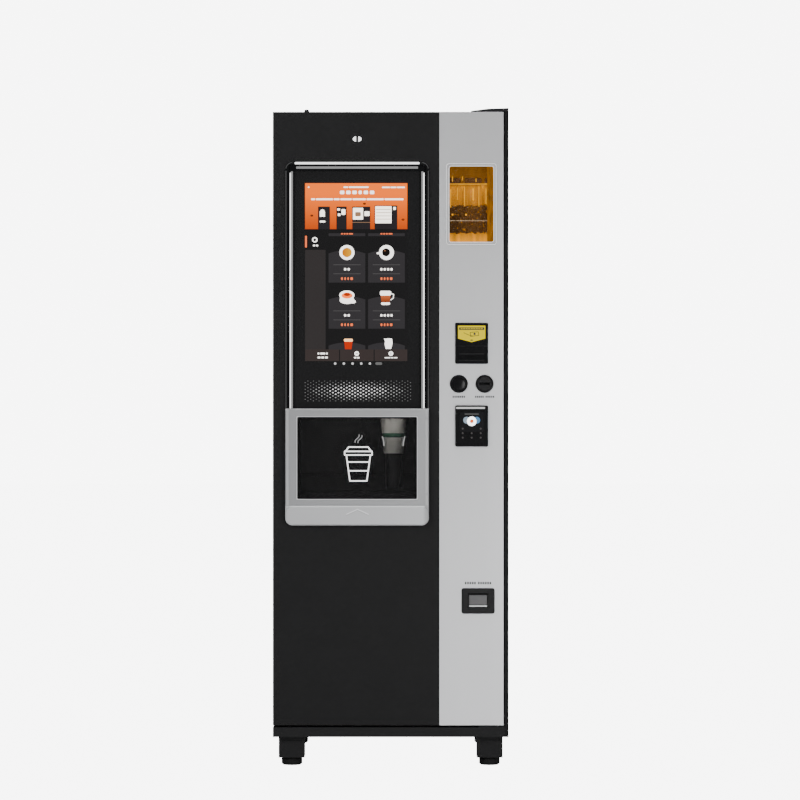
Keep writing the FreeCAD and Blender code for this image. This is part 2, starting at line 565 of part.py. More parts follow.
def cup_bay():
    nozzle_at = ("cup_x - cup_travel", "cup_depth")
    liner_x = (f"{BAY_LEFT} - 2", f"{BAY_RIGHT} + 2")
    outer = box("liner_outer", (f"{BAY_LEFT} - {LINER}", f"{BAY_RIGHT} + {LINER}"),
                (LINER_FRONT, LINER_BACK), (f"bay_deck + {DECK}", LINER_TOP))
    inner = box("liner_inner", liner_x, (f"{LINER_FRONT} - overcut", f"{LINER_BACK} - sheet"),
                (f"bay_deck + {DECK} + sheet", f"{LINER_TOP} - sheet"))
    roof = (f"{LINER_TOP} - sheet - overcut", f"{LINER_TOP} + overcut")
    drop = rod("liner_drop", "z", "turret_tube", roof, ("cup_x", "cup_depth"))
    nozzle_hole = rod("liner_nozzle_hole", "z", "nozzle_pass", roof, nozzle_at)
    rail = rod("cup_rail", "x", "rail_radius", liner_x, ("rail_depth", "rail_z"))
    node("bay_liner", fuse("liner", cut("liner_shell", outer, drop, nozzle_hole, inner), rail))
    drip_tray()
    tube = rod("nozzle_head", "z", "nozzle_radius", (f"{LINER_TOP} - spout_drop + 1", "turret_deck - 4"),
               nozzle_at)
    collar = rod("nozzle_collar", "z", "collar_radius", (LINER_TOP, f"{LINER_TOP} + collar_thick"), nozzle_at)
    spouts = [rod(f"spout_{step}", "z", "spout_radius", (f"{LINER_TOP} - spout_drop", f"{LINER_TOP} - 4"),
                  (f"{nozzle_at[0]} + ({step}) * spout_pitch", "cup_depth")) for step in (-1, 0, 1)]
    node("dispense_nozzle", fuse("nozzle", tube, collar, *spouts))


def drip_tray():
    """Pan on the floor of the bay with a grille of bars across it."""
    x = (f"{BAY_LEFT} + tray_clear", f"{BAY_RIGHT} - tray_clear")
    front = f"({LINER_FRONT} + tray_clear)"
    low = f"(bay_deck + {DECK} + sheet + slack)"
    top = f"({low} + tray_high)"
    pan = tray("drip_pan", x, (front, "rail_depth - tray_back"), (low, top), "tray_wall", "tray_wall")
    bars = []
    for step in range(1, 12):
        start = f"({front} + tray_wall + {step} * bar_pitch)"
        bars.append(box(f"grille_{step}", (f"{x[0]} + tray_wall", f"{x[1]} - tray_wall"),
                        (start, f"{start} + bar_size"), (f"{top} - bar_size", top)))
    node("drip_tray", fuse("drip", pan, *bars))


def cup_carriage():
    """Slider on the rail with the pedestal under the cup, the post of the claws, the claws and the cup."""
    deck = "(cup_base + 10)"
    head_top = f"({deck} + head_thick_up)"
    hinge_depth = "(cup_depth + claw_back)"
    reach = "(claw_spread + arm_half)"
    parts = [rod("pedestal", "z", "pedestal_radius", ("pedestal_low", "cup_base"), ("cup_x", "cup_depth")),
             box("carriage_arm", ("cup_x - arm_half", "cup_x + arm_half"),
                 ("cup_depth + 10", "rail_depth - 10"), ("rail_z - arm_half", "rail_z + arm_half")),
             box("carriage_block", ("cup_x - block_width / 2", "cup_x + block_width / 2"),
                 ("rail_depth - block_half", "rail_depth + block_half"),
                 ("rail_z - block_high", "rail_z + block_high")),
             box("claw_post", ("cup_x - post_half", "cup_x + post_half"),
                 ("rail_depth - post_front", "rail_depth - 20"), ("rail_z + arm_half", deck)),
             box("claw_head", (f"cup_x - {reach}", f"cup_x + {reach}"),
                 (f"{hinge_depth} - arm_half", "rail_depth - 20"), (deck, head_top))]
    parts += [rod(f"claw_pin_{side}", "z", "claw_pin", (head_top, f"{head_top} + claw_high"),
                  (f"cup_x + ({side}) * claw_spread", hinge_depth)) for side in (-1, 1)]
    bore = rod("slider_bore", "x", "rail_radius + rail_clear",
               ("cup_x - block_width / 2 - 1", "cup_x + block_width / 2 + 1"), ("rail_depth", "rail_z"))
    node("cup_carriage", cut("carriage", fuse("carriage_all", *parts), bore))
    height = (f"{head_top} + 1", f"{head_top} + claw_high - 1")
    claw("left", -1, 118, height, hinge_depth)
    claw("right", 1, -48, height, hinge_depth)
    top = "cup_base + cup_high"
    outside = cone("cup_outside", "cup_radius", "cup_mouth", ("cup_base", top), ("cup_x", "cup_depth"))
    inside = cone("cup_inside", "cup_radius - cup_wall", "cup_mouth - cup_wall",
                  ("cup_base + cup_floor", f"{top} + 0.01"), ("cup_x", "cup_depth"))
    node("paper_cup", cut("cup", outside, inside))


def claw(name, side, start, height, hinge_depth):
    """Curved finger round one side of the cup, linked to a hub on its pin."""
    at_cup = ("cup_x", "cup_depth")
    hub_x = f"(cup_x + ({side}) * claw_spread)"
    inner = "(cup_radius + claw_gap)"
    arc = cut(f"claw_arc_{name}",
              rod(f"claw_out_{name}", "z", f"{inner} + claw_thick", height, at_cup, "claw_sector", start),
              rod(f"claw_in_{name}", "z", inner, (f"{height[0]} - 1", f"{height[1]} + 1"), at_cup))
    hub = rod(f"claw_hub_{name}", "z", "claw_hub", height, (hub_x, hinge_depth))
    link = box(f"claw_link_{name}", (f"{hub_x} - claw_link / 2", f"{hub_x} + claw_link / 2"),
               (f"{hinge_depth} - 18", hinge_depth), height)
    bore = rod(f"claw_bore_{name}", "z", "claw_pin + pin_clear", (f"{height[0]} - 1", f"{height[1]} + 1"),
               (hub_x, hinge_depth))
    node(f"claw_{name}", cut(f"claw_whole_{name}", fuse(f"claw_solid_{name}", arc, hub, link), bore))


def cup_turret():
    """Carousel of four cup tubes on a shaft, held by two discs."""
    middle = ("cup_x", "cup_depth + turret_radius")
    parts = [rod("turret_axle", "z", "turret_shaft", ("turret_deck - 8", "turret_high + 20"), middle)]
    holes = []
    for step, (across, back) in enumerate(((0, -1), (1, 0), (0, 1), (-1, 0))):
        spot = (f"cup_x + ({across}) * turret_radius", f"{middle[1]} + ({back}) * turret_radius")
        parts.append(rod(f"tube_{step}", "z", "turret_tube", ("turret_low", "turret_high"), spot))
        holes.append(rod(f"tube_hole_{step}", "z", "turret_tube - tube_wall",
                         ("turret_low - 1", "turret_high + 1"), spot))
    for step, low in enumerate(("turret_low", "(turret_high - turret_disc_drop)")):
        parts.append(rod(f"turret_disc_{step}", "z", "turret_disc", (low, f"{low} + turret_disc_thick"),
                         middle))
    node("cup_turret", cut("turret", fuse("turret_all", *parts), *holes))


# ---------------------------------------------------------------- coffee, powder and water

def lidded_bin(name, x, front, back, low, high, divided, outlets, spouts=()):
    """Open ingredient container with a hinge pin behind its rim; returns the pin's depth and height."""
    parts = [tray(name + "_body", x, (front, back), (low, high), "hopper_wall", "hopper_wall")]
    if divided:
        half = "hopper_wall / 2"
        middle = f"({x[0]} + {x[1]}) / 2"
        parts.append(box(f"{name}_divider", (f"{middle} - {half}", f"{middle} + {half}"),
                         (f"{front} + 1", f"{back} - 1"), (f"{low} + 1", high)))
    pin_at = (f"({back} + pin_back)", f"({high} + pin_up)")
    for step, start in enumerate((x[0], f"({x[1]} - ear)")):
        parts.append(box(f"{name}_ear_{step}", (start, f"{start} + ear"), (back, f"{back} + pin_back * 2"),
                         (f"{high} - 12", f"{high} + 8")))
    parts.append(rod(name + "_pin", "x", "lid_pin", (f"{x[0]} + 2", f"{x[1]} - 2"), pin_at))
    whole = cut(name + "_whole", fuse(name + "_solid", *parts), *outlets)
    node(name, fuse(name + "_fitted", whole, *spouts) if spouts else whole)
    return pin_at


def bin_lid(name, x, front, back, high, pin_at):
    """Flat lid with the barrel that turns on its container's pin."""
    under = f"({high} + lid_gap)"
    cover = box(name + "_cover", (f"{x[0]} - lid_over", f"{x[1]} + lid_over"),
                (f"{front} - lid_over", f"{back} - ear"), (under, f"{under} + lid_thick"))
    barrel_x = (f"{x[0]} + pin_back", f"{x[1]} - pin_back")
    barrel = rod(name + "_barrel", "x", "lid_pin + 2", barrel_x, pin_at)
    bridge = box(name + "_bridge", barrel_x, (f"{back} - pin_back", f"{back} + 4"),
                 (f"{high} + 2.5", f"{under} + lid_thick"))
    bore = rod(name + "_bore", "x", "lid_pin + pin_clear", (f"{x[0]} + 4", f"{x[1]} - 4"), pin_at)
    node(name, cut(name + "_whole", fuse(name + "_solid", cover, barrel, bridge), bore))


def coffee_side():
    """Bean hopper over the grinder, over the brewer with its piston."""
    beans_at = ("pay_x", "grinder_depth")
    hopper_low = f"(hopper_deck + {DECK})"
    hopper_x = (HOPPER_LEFT, HOPPER_RIGHT)
    outlet = rod("bean_outlet", "z", "bean_throat", (f"{hopper_low} - 1", f"{hopper_low} + 9"), beans_at)
    pin_at = lidded_bin("bean_hopper", hopper_x, "hopper_front", "hopper_back", hopper_low, "hopper_high",
                        False, [outlet])
    bin_lid("bean_hopper_lid", hopper_x, "hopper_front", "hopper_back", "hopper_high", pin_at)
    low = f"(grinder_deck + {DECK})"
    burrs_top = f"({low} + motor_high + burr_high)"
    motor = rod("grinder_motor", "z", "grinder_radius", (low, f"{low} + motor_high"),
                ("pay_x - 25", "grinder_depth"))
    burrs = rod("grinder_burrs", "z", "grinder_radius + burr_over", (f"{low} + motor_high", burrs_top),
                beans_at)
    neck = cone("grinder_neck", "grinder_radius", "neck_radius", (burrs_top, "hopper_deck"), beans_at)
    throat = rod("grinder_throat", "z", "bean_throat - 1", (f"{low} + motor_high + 10", "hopper_deck + 1"),
                 beans_at)
    node("grinder", cut("grinder_whole", fuse("grinder_solid", motor, burrs, neck), throat))
    base = f"(brewer_deck + {DECK})"
    at = ("pay_x", "brewer_at")
    case = box("brewer_case", ("pay_x - brewer_width / 2", "pay_x + brewer_width / 2"),
               ("brewer_at - brewer_depth / 2", "brewer_at + brewer_depth / 2"),
               (base, f"{base} + brewer_high"))
    bore = rod("brewer_bore", "z", "piston_radius + piston_clear",
               (f"{base} + brewer_well", f"{base} + brewer_high + 1"), at)
    columns = [rod(f"brewer_column_{side}", "z", "piston_stem", (f"{base} + brewer_high - 1", "grinder_deck"),
                   (f"pay_x + ({side}) * brewer_columns", "brewer_at")) for side in (-1, 1)]
    node("brewer_body", fuse("brewer", cut("brewer_block", case, bore), *columns))
    head_top = f"({base} + piston_low + piston_high)"
    head = rod("piston_head", "z", "piston_radius", (f"{base} + piston_low", head_top), at)
    stem = rod("piston_stem_rod", "z", "piston_stem", (f"{head_top} - 1", "grinder_deck - 4"), at)
    node("brewer_piston", fuse("piston", head, stem))


def auger(name, x, height):
    """Dosing screw of one powder chamber: a shaft with flights, along the depth."""
    front = "(canister_front - auger_front)"
    end = "(canister_back - hopper_wall + 14)"
    parts = [rod(name + "_shaft", "y", "auger_shaft", (front, end), (x, height))]
    for step in range(11):
        start = f"({front} + 4 + {step} * auger_pitch)"
        parts.append(rod(f"{name}_flight_{step}", "y", "auger_radius", (start, f"{start} + flight"),
                         (x, height)))
    node(name, fuse(name + "_all", *parts))


def powder_side():
    """Twin powder container with its augers and spouts, and the mixer under them."""
    height = f"(canister_deck + {DECK} + hopper_wall + auger_radius + 4)"
    bore = "(auger_radius + spout_clear)"
    outlets = []
    spouts = []
    for index, side in ((1, -1), (2, 1)):
        name = f"canister_{index}"
        x = f"(canister_x + ({side}) * canister_width / 4)"
        auger(f"canister_auger_{index}", x, height)
        outlets.append(rod(name + "_outlet", "y", bore,
                           ("canister_front - 1", "canister_front + hopper_wall + 1"), (x, height)))
        outlets.append(rod(name + "_bearing", "y", "auger_shaft + pin_clear",
                           ("canister_back - hopper_wall - 1", "canister_back + 1"), (x, height)))
        inside = "(canister_front - spout_length + 3)"
        spouts.append(cut(name + "_spout",
                          rod(name + "_spout_out", "y", f"{bore} + spout_wall",
                              ("canister_front - spout_length", "canister_front"), (x, height)),
                          rod(name + "_spout_in", "y", bore, (inside, "canister_front + 1"), (x, height)),
                          box(name + "_mouth", (f"{x} - spout_mouth / 2", f"{x} + spout_mouth / 2"),
                              (inside, "canister_front - 8"), (f"{height} - 20", height))))
    x = (CANISTER_LEFT, CANISTER_RIGHT)
    pin_at = lidded_bin("powder_canisters", x, "canister_front", "canister_back", f"canister_deck + {DECK}",
                        "canister_high", True, outlets, spouts)
    bin_lid("canister_lid", x, "canister_front", "canister_back", "canister_high", pin_at)
    mixer()


def mixer():
    """Funnel, whipping chamber and spout, with the motor behind and the whipper inside."""
    funnel_low = f"({MIXER_Z} + funnel_up)"
    axis = ("canister_x", MIXER_Z)
    drop_at = ("canister_x", "canister_front - 15")
    front = "(canister_front - whip_front)"
    back = "(canister_front + whip_back)"
    funnel = tray("funnel", (f"{CANISTER_LEFT} + funnel_inset", f"{CANISTER_RIGHT} - funnel_inset"),
                  ("canister_front - funnel_high", "canister_front + 16"),
                  (funnel_low, f"{funnel_low} + funnel_high"), "tray_wall", "tray_wall")
    throat = cone("funnel_throat", "20", "28", (f"{MIXER_Z} + 20", f"{funnel_low} + 1"), drop_at)
    chamber = rod("whip_chamber", "y", "whip_radius + whip_room + whip_wall", (front, back), axis)
    foot_block = box("mixer_foot", ("canister_x - mixer_half", "canister_x + mixer_half"),
                     ("canister_front - 20", back), (f"mixer_deck + {DECK}", f"{MIXER_Z} - 20"))
    spout = rod("mixer_spout", "y", "6", (f"{front} - 14", f"{front} + 1"), ("canister_x", f"{MIXER_Z} - 18"))
    hollow = rod("whip_hollow", "y", "whip_radius + whip_room",
                 (f"{front} + whip_wall", f"{back} - whip_wall"), axis)
    drop = rod("funnel_drop_bore", "z", "funnel_drop", (f"{MIXER_Z} + 20", f"{funnel_low} + 3"), drop_at)
    bore = rod("whip_bore", "y", "whip_shaft + pin_clear", (f"{back} - whip_wall - 1", f"{back} + 1"), axis)
    bowl = cut("mixer_bowl_part", fuse("mixer_solid", funnel, throat, chamber, foot_block, spout),
               hollow, drop, bore)
    motor = box("mixer_motor", ("canister_x - mixer_motor_half", "canister_x + mixer_motor_half"),
                ("canister_front + mixer_motor_front", "canister_front + mixer_motor_back"),
                (f"mixer_deck + {DECK}", f"{MIXER_Z} + mixer_motor_half"))
    node("mixing_bowl", group("mixer_unit", bowl, motor))
    disc = rod("whip_disc", "y", "whip_radius", ("canister_front - 10", "canister_front - 6"), axis)
    shaft = rod("whip_axle", "y", "whip_shaft",
                ("canister_front - 14", "canister_front + mixer_motor_front - slack"), axis)
    paddles = []
    for step in (-1, 1):
        x = f"(canister_x + ({step}) * 9)"
        paddles.append(box(f"whip_paddle_{step}", (f"{x} - 3", f"{x} + 3"),
                           ("canister_front - 18", "canister_front - 9"),
                           (f"{MIXER_Z} - 6", f"{MIXER_Z} + 6")))
    node("whipper", fuse("whipper_all", disc, shaft, *paddles))


def water_side():
    """Boiler behind the back plate; bottle, pump and grounds bin on the floor; power supply at the rear."""
    low = f"(brewer_deck + {DECK})"
    top = f"({low} + boiler_high)"
    spot = ("boiler_x", "back_depth + 65")
    cap_top = f"({top} + boiler_cap)"
    node("boiler", fuse("boiler_all", rod("boiler_tank", "z", "boiler_radius", (low, top), spot),
                        cone("boiler_dome", "boiler_radius", "28", (top, cap_top), spot),
                        rod("boiler_pipe", "z", "boiler_stub", (cap_top, f"{cap_top} + 24"), spot)))
    middle = ("bottle_x", "bottle_depth")
    shoulder_low = f"({FLOOR_TOP} + bottle_high)"
    neck_low = f"({shoulder_low} + bottle_shoulder)"
    node("water_bottle", fuse(
        "bottle", rod("bottle_barrel", "z", "bottle_radius", (FLOOR_TOP, shoulder_low), middle),
        cone("bottle_cone", "bottle_radius", "bottle_neck + 2", (shoulder_low, neck_low), middle),
        rod("bottle_mouth", "z", "bottle_neck", (neck_low, f"{neck_low} + 40"), middle)))
    base_top = f"({FLOOR_TOP} + pump_base)"
    node("water_pump", fuse(
        "pump",
        box("pump_foot", ("pump_left", "pump_right"), ("pump_front", "pump_back"), (FLOOR_TOP, base_top)),
        rod("pump_motor", "y", "pump_radius", ("pump_front + 5", "pump_back - 40"),
            ("(pump_left + pump_right) / 2", f"{base_top} + pump_radius")),
        box("pump_block", ("pump_left + 20", "pump_right - 20"), ("pump_back - 40", "pump_back - 5"),
            (base_top, f"{FLOOR_TOP} + pump_head"))))
    bin_low = f"({FLOOR_TOP} + slack)"
    node("waste_bin", tray("grounds_bin", ("bin_left", "bin_left + bin_width"), ("bin_front", "bin_back"),
                           (bin_low, f"{bin_low} + bin_high"), "bin_wall", "bin_wall"))
    node("power_supply", box("supply_case", ("supply_left", "supply_right"),
                             (f"{BACK} - sheet - supply_deep", f"{BACK} - sheet"),
                             ("supply_low", "supply_high")))


# ---------------------------------------------------------------- door

def door_shell():
    through = ("-overcut", "door_thick + overcut")
    front_sheet = ("-overcut", "sheet + overcut")
    pivot = (PIVOT, "hinge_depth")
    step_x = "(split_x - skin_seam / 2)"
    inside_z = (f"{DOOR_LOW} + sheet", f"{DOOR_TOP} - sheet")
    jog = f"({step_x} - sheet)"
    sheet_part = cut(
        "door_sheet", box("door_outer", (LEFT, DOOR_RIGHT), ("0", "door_thick"), (DOOR_LOW, DOOR_TOP)),
        box("skin_step", (step_x, f"{DOOR_RIGHT} + overcut"), ("-overcut", "skin_thick"),
            (f"{DOOR_LOW} - overcut", f"{DOOR_TOP} + overcut")),
        box("hollow_left", (f"{LEFT} + sheet", jog), ("sheet", INNER_BACK), inside_z),
        box("hollow_right", (jog, f"{DOOR_RIGHT} - sheet"), (JOG, INNER_BACK), inside_z),
        box("rear_opening", (f"{LEFT} + jamb", f"{DOOR_RIGHT} - jamb * 2"),
            (f"{INNER_BACK} - overcut", "door_thick + overcut"),
            (f"{DOOR_LOW} + jamb", f"{DOOR_TOP} - jamb")))
    tunnel = box("tunnel_outer", (f"{BAY_LEFT} - sheet", f"{BAY_RIGHT} + sheet"), ("sheet", "door_thick"),
                 ("bay_low - sheet", "bay_high + sheet"))
    bush = "(bush_height + bush_wall)"
    bushes = [box(f"bush_{end}", (f"{PIVOT} - bush_side", f"{DOOR_RIGHT} - sheet"),
                  (JOG, "hinge_depth + 12"), z)
              for end, z in (("low", (DOOR_LOW, f"{DOOR_LOW} + {bush}")),
                             ("top", (f"{DOOR_TOP} - {bush}", DOOR_TOP)))]
    half = "(display_width / 2 + overcut)"
    cuts = [box("bay_aperture", (BAY_LEFT, BAY_RIGHT), through, ("bay_low", "bay_high")),
            box("display_cutout", (f"screen_x - {half}", f"screen_x + {half}"), front_sheet,
                ("display_low - overcut", "display_high + overcut")),
            rod("bore_low", "z", BORE,
                (f"{DOOR_LOW} - overcut", f"{DOOR_LOW} + bush_height + overcut"), pivot),
            rod("bore_top", "z", BORE,
                (f"{DOOR_TOP} - bush_height - overcut", f"{DOOR_TOP} + overcut"), pivot),
            rod("lock_hole", "x", f"{LOCK_RADIUS} + slack",
                (f"{LEFT} - overcut", f"{LEFT} + sheet + overcut"), ("door_thick / 2", "lock_z"))]
    for side, x in tongue_spots():
        reach = "(tongue / 2 + slot_clear)"
        cuts.append(box(f"hatch_slot_{side}", (f"{x} - {reach}", f"{x} + {reach}"), front_sheet, TONGUE_RUN))
    cuts += payment_holes("door", JOG)
    node("door_shell", cut("door", fuse("door_whole", sheet_part, tunnel, *bushes), *cuts))


def tongue_spots():
    inset = "(groove_inset + groove_width / 2)"
    return (("left", f"({BEZEL_LEFT} + {inset})"), ("right", f"({BEZEL_RIGHT} - {inset})"))


def payment_holes(tag, back):
    """Cut-outs through the right side of the door for the window and the payment devices."""
    depth = ("-overcut", f"{back} + overcut")

    def about(middle, half):
        return (f"{middle} - ({half})", f"{middle} + ({half})")
    return [
        box(tag + "_window_hole", about("window_x", "window_width / 2 - window_band / 2"), depth,
            ("window_low + window_band / 2", "window_high - window_band / 2")),
        box(tag + "_bill_hole", about("pay_x", "bill_body / 2 + overcut"), depth,
            ("bill_low + 3", "bill_high - 3")),
        box(tag + "_reader_hole", about("pay_x", "reader_body / 2 + overcut"), depth,
            ("reader_low + 5", "reader_high - 5")),
        box(tag + "_return_hole", about("return_x", "return_hole / 2 + 5"), depth,
            ("return_low + 7", "return_high - 7")),
        rod(tag + "_button_hole", "y", "boss_radius + slack", depth, ("button_x", "button_z")),
        rod(tag + "_coin_hole", "y", "boss_radius + slack", depth, ("coin_x", "button_z"))]


def screen():
    """Bezel with the hatch's grooves, the cover glass and the display behind it."""
    inside = (f"{BEZEL_LEFT} + bezel_band", f"{BEZEL_RIGHT} - bezel_band")
    bezel = plate("bezel", (BEZEL_LEFT, BEZEL_RIGHT), ("-bezel_proud", "0"), ("bezel_low", "bezel_top"),
                  "bezel_radius", "bezel_proud * 0.6")
    window(bezel, "bezel_middle", inside, ("-bezel_proud - overcut", "overcut"),
           ("bezel_low + bezel_band", "bezel_top - bezel_band"), "small_corner")
    trim_depth = ("-bezel_proud - overcut", "-bezel_proud + trim_deep + overcut")
    grooves = [box("trim_top", (f"{BEZEL_LEFT} + groove_inset", f"{BEZEL_RIGHT} - groove_inset"), trim_depth,
                   ("bezel_top - groove_inset - groove_width", "bezel_top - groove_inset"))]
    for side, x in tongue_spots():
        across = (f"{x} - groove_width / 2", f"{x} + groove_width / 2")
        grooves.append(box(f"groove_{side}", across, ("-bezel_proud - overcut", "overcut"), TONGUE_RUN))
        grooves.append(box(f"trim_{side}", across, trim_depth,
                           ("bezel_low + trim_start", "bezel_top - groove_inset")))
    node("screen_bezel", cut("bezel_cut", bezel, *grooves))
    node("screen_glass", plate("glass", inside, ("-glass_thick", "0"),
                               ("glass_low", "bezel_top - bezel_band"), "small_corner"))
    panel = box("panel", ("screen_x - display_width / 2", "screen_x + display_width / 2"),
                ("0", "display_thick"), ("display_low", "display_high"))
    board = box("board", ("screen_x - board_width / 2", "screen_x + board_width / 2"),
                ("display_thick", "display_thick + board_thick"),
                ("display_low + board_margin", "display_high - board_margin"))
    node("display_panel", fuse("display", panel, board))


def bean_window():
    x = ("window_x - window_width / 2", "window_x + window_width / 2")
    trim = plate("window_frame", x, ("-window_proud", "0"), ("window_low", "window_high"), "window_corner")
    window(trim, "window_frame_middle", (f"{x[0]} + window_band", f"{x[1]} - window_band"),
           ("-window_proud - overcut", "overcut"),
           ("window_low + window_band", "window_high - window_band"), "4")
    node("window_trim", trim)
    inset = "(window_band / 2 + slack)"
    node("window_glass", box("pane", (f"{x[0]} + {inset}", f"{x[1]} - {inset}"), ("0", "glass_thick"),
                             (f"window_low + {inset}", f"window_high - {inset}")))


def skin_and_seal():
    skin = plate("skin", ("split_x + skin_seam / 2", DOOR_RIGHT), ("0", "skin_thick"), (DOOR_LOW, DOOR_TOP))
    node("side_skin", cut("skin_cut", skin, *payment_holes("skin", "skin_thick")))
    x = (f"{LEFT} + 5.5", f"{PIVOT} - 6")
    z = (f"{DOOR_LOW} + 6", f"{DOOR_TOP} - 6")
    band = 12
    seal = plate("seal", x, ("door_thick", "frame_depth - slack"), z)
    window(seal, "seal_middle", (f"{x[0]} + {band}", f"{x[1]} - {band}"),
           ("door_thick - overcut", "frame_depth + overcut"), (f"{z[0]} + {band}", f"{z[1]} - {band}"))
    node("door_gasket", seal)


def payments():
    bill_x = ("pay_x - bill_width / 2", "pay_x + bill_width / 2")
    face = plate("bill_face", bill_x, ("-bill_proud", "0"), ("bill_low", "bill_high"), "3", "device_edge")
    window(face, "bill_mouth", ("pay_x - mouth_width / 2", "pay_x + mouth_width / 2"),
           ("-bill_proud - overcut", "mouth_deep - bill_proud"),
           ("bill_low + mouth_low", "bill_low + mouth_low + mouth_high"))
    body = box("bill_box", ("pay_x - bill_body / 2", "pay_x + bill_body / 2"), ("-slack", "bill_depth"),
               ("bill_low + device_margin", "bill_high - device_margin"))
    node("bill_validator", fuse("bill_all", face, body))
    coin_acceptor()
    change_button()
    front = plate("reader_front", bill_x, ("-reader_proud", "0"), ("reader_low", "reader_high"), "4", "2")
    back_box = box("reader_back", ("pay_x - reader_body / 2", "pay_x + reader_body / 2"),
                   ("-slack", "reader_depth"), ("reader_low + 6", "reader_high - 6"))
    node("card_reader", fuse("reader_all", front, back_box))
    node("coin_changer", box("changer_case", ("changer_left", "changer_right"),
                             ("changer_front", "door_thick - changer_room"), ("changer_low", "changer_high")))


def coin_acceptor():
    """Round coin face with its slot, and the chute that leads down to the changer."""
    at = ("coin_x", "button_z")
    disc = round_plate("coin_disc", *at, "button_radius", ("-button_proud", "0"), "device_edge")
    boss = rod("coin_boss_rod", "y", "boss_radius", ("-slack", "coin_boss"), at)
    chute = box("coin_chute", ("coin_x + chute_left", "coin_x + chute_right"), ("coin_boss + 1", "coin_back"),
                ("changer_high", "button_z"))
    back = box("coin_back_box", ("coin_x - 20", "coin_x + chute_right"), ("coin_boss", "coin_back"),
               ("button_z - 20", "button_z + 20"))
    slot = box("coin_slot_gap", ("coin_x - coin_slot_width / 2", "coin_x + coin_slot_width / 2"),
               ("-button_proud - overcut", "coin_gap"),
               ("button_z - coin_slot_high / 2", "button_z + coin_slot_high / 2"))
    node("coin_slot", cut("coin_all", fuse("coin_solid", disc, boss, back, chute), slot))


def change_button():
    at = ("button_x", "button_z")
    ring = round_plate("button_disc", *at, "button_radius", ("-button_proud", "0"), "device_edge")
    barrel = rod("button_barrel", "y", "boss_radius", ("-slack", "button_depth"), at)
    bore = rod("button_bore", "y", "cap_radius + cap_clear",
               ("-button_proud - overcut", "button_depth - 4"), at)
    node("button_bezel", cut("button_ring", fuse("button_solid", ring, barrel), bore))
    node("change_button", round_plate("cap", *at, "cap_radius", ("-button_proud", "cap_length"), "1"))


def coin_return():
    """Recessed coin cup in the skin, with a flap that swings inwards on its pin."""
    hole = ("(return_x - return_hole / 2)", "(return_x + return_hole / 2)")
    low = "(return_low + return_sill)"
    high = "(return_high - return_head)"
    face = plate("return_face", ("return_x - return_width / 2", "return_x + return_width / 2"),
                 ("-return_proud", "0"), ("return_low", "return_high"), "6", "device_edge")
    cup = box("return_cup", (f"{hole[0]} - return_wall", f"{hole[1]} + return_wall"),
              ("-slack", "return_pocket"), ("return_low + 8", "return_high - 8"))
    space = box("return_space", hole, ("-return_proud - overcut", "return_pocket - 2"), (low, high))
    pin_at = ("flap_depth", f"({high} - 3)")
    pin_bore = rod("flap_bore", "x", "flap_pin + pin_clear",
                   (f"{hole[0]} - 2.5", f"{hole[1]} + 2.5"), pin_at)
    drop = box("coin_drop_hole", ("return_x - coin_drop / 2", "return_x + coin_drop / 2"), ("14", "38"),
               (f"{high} - 1", "return_high"))
    node("coin_return_frame", cut("return_all", fuse("return_solid", face, cup), space, pin_bore, drop))
    across = (f"{hole[0]} + flap_clear", f"{hole[1]} - flap_clear")
    leaf = box("flap_leaf", across, ("flap_depth - flap_thick / 2", "flap_depth + flap_thick / 2"),
               (f"{low} + 0.8", pin_at[1]))
    knuckle = rod("flap_knuckle_rod", "x", "flap_knuckle", across, pin_at)
    pin = rod("flap_pin_rod", "x", "flap_pin", (f"{hole[0]} - 2", f"{hole[1]} + 2"), pin_at)
    node("coin_return_flap", fuse("flap", leaf, knuckle, pin))


def hatch():
    """Lifting hatch: frame, sill, handle lip and the tongues that run in the bezel's grooves."""
    x = (BEZEL_LEFT, BEZEL_RIGHT)
    back = "(-bezel_proud - hatch_clear)"
    front = f"({back} - hatch_thick)"
    frame = plate("hatch_plate", x, (front, back), ("hatch_low", "hatch_high"), None, "2",
                  low_radius="hatch_corner")
    hole_x = (f"{x[0]} + hatch_side", f"{x[1]} - hatch_side")
    hole_z = ("(hatch_low + hatch_sill)", "(hatch_high - hatch_head)")
    window(frame, "hatch_hole", hole_x, (f"{front} - overcut", f"{back} + overcut"), hole_z, "4")
    bits = [frame, plate("hatch_handle", x, ("-hatch_proud", f"{front} + slack"),
                         ("hatch_low", "hatch_low + hatch_lip"), "hatch_corner", "3")]
    for side, spot in tongue_spots():
        for end, low in (("low", "(hatch_low + tongue_inset)"),
                         ("high", "(hatch_high - tongue_inset - tongue_height)")):
            z = (low, f"{low} + tongue_height")
            head_depth = ("sheet + overcut", "sheet + overcut + head_thick")
            bits.append(box(f"tongue_{side}_{end}", (f"{spot} - tongue / 2", f"{spot} + tongue / 2"),
                            (f"{back} - 1", head_depth[1]), z))
            bits.append(box(f"head_{side}_{end}", (f"{spot} - tongue_head / 2", f"{spot} + tongue_head / 2"),
                            head_depth, z))
    pane_depth = (f"{back} - window_thick - slack", f"{back} - slack")
    rebate = box("hatch_rebate", (f"{hole_x[0]} - rebate", f"{hole_x[1]} + rebate"),
                 (pane_depth[0], f"{back} + overcut"), (f"{hole_z[0]} - rebate", f"{hole_z[1]} + rebate"))
    node("hatch_frame", cut("hatch_all", fuse("hatch_solid", *bits), rebate))
    edge = "(rebate - slack)"
    node("hatch_window", box("hatch_pane", (f"{hole_x[0]} - {edge}", f"{hole_x[1]} + {edge}"), pane_depth,
                             (f"{hole_z[0]} - {edge}", f"{hole_z[1]} + {edge}")))


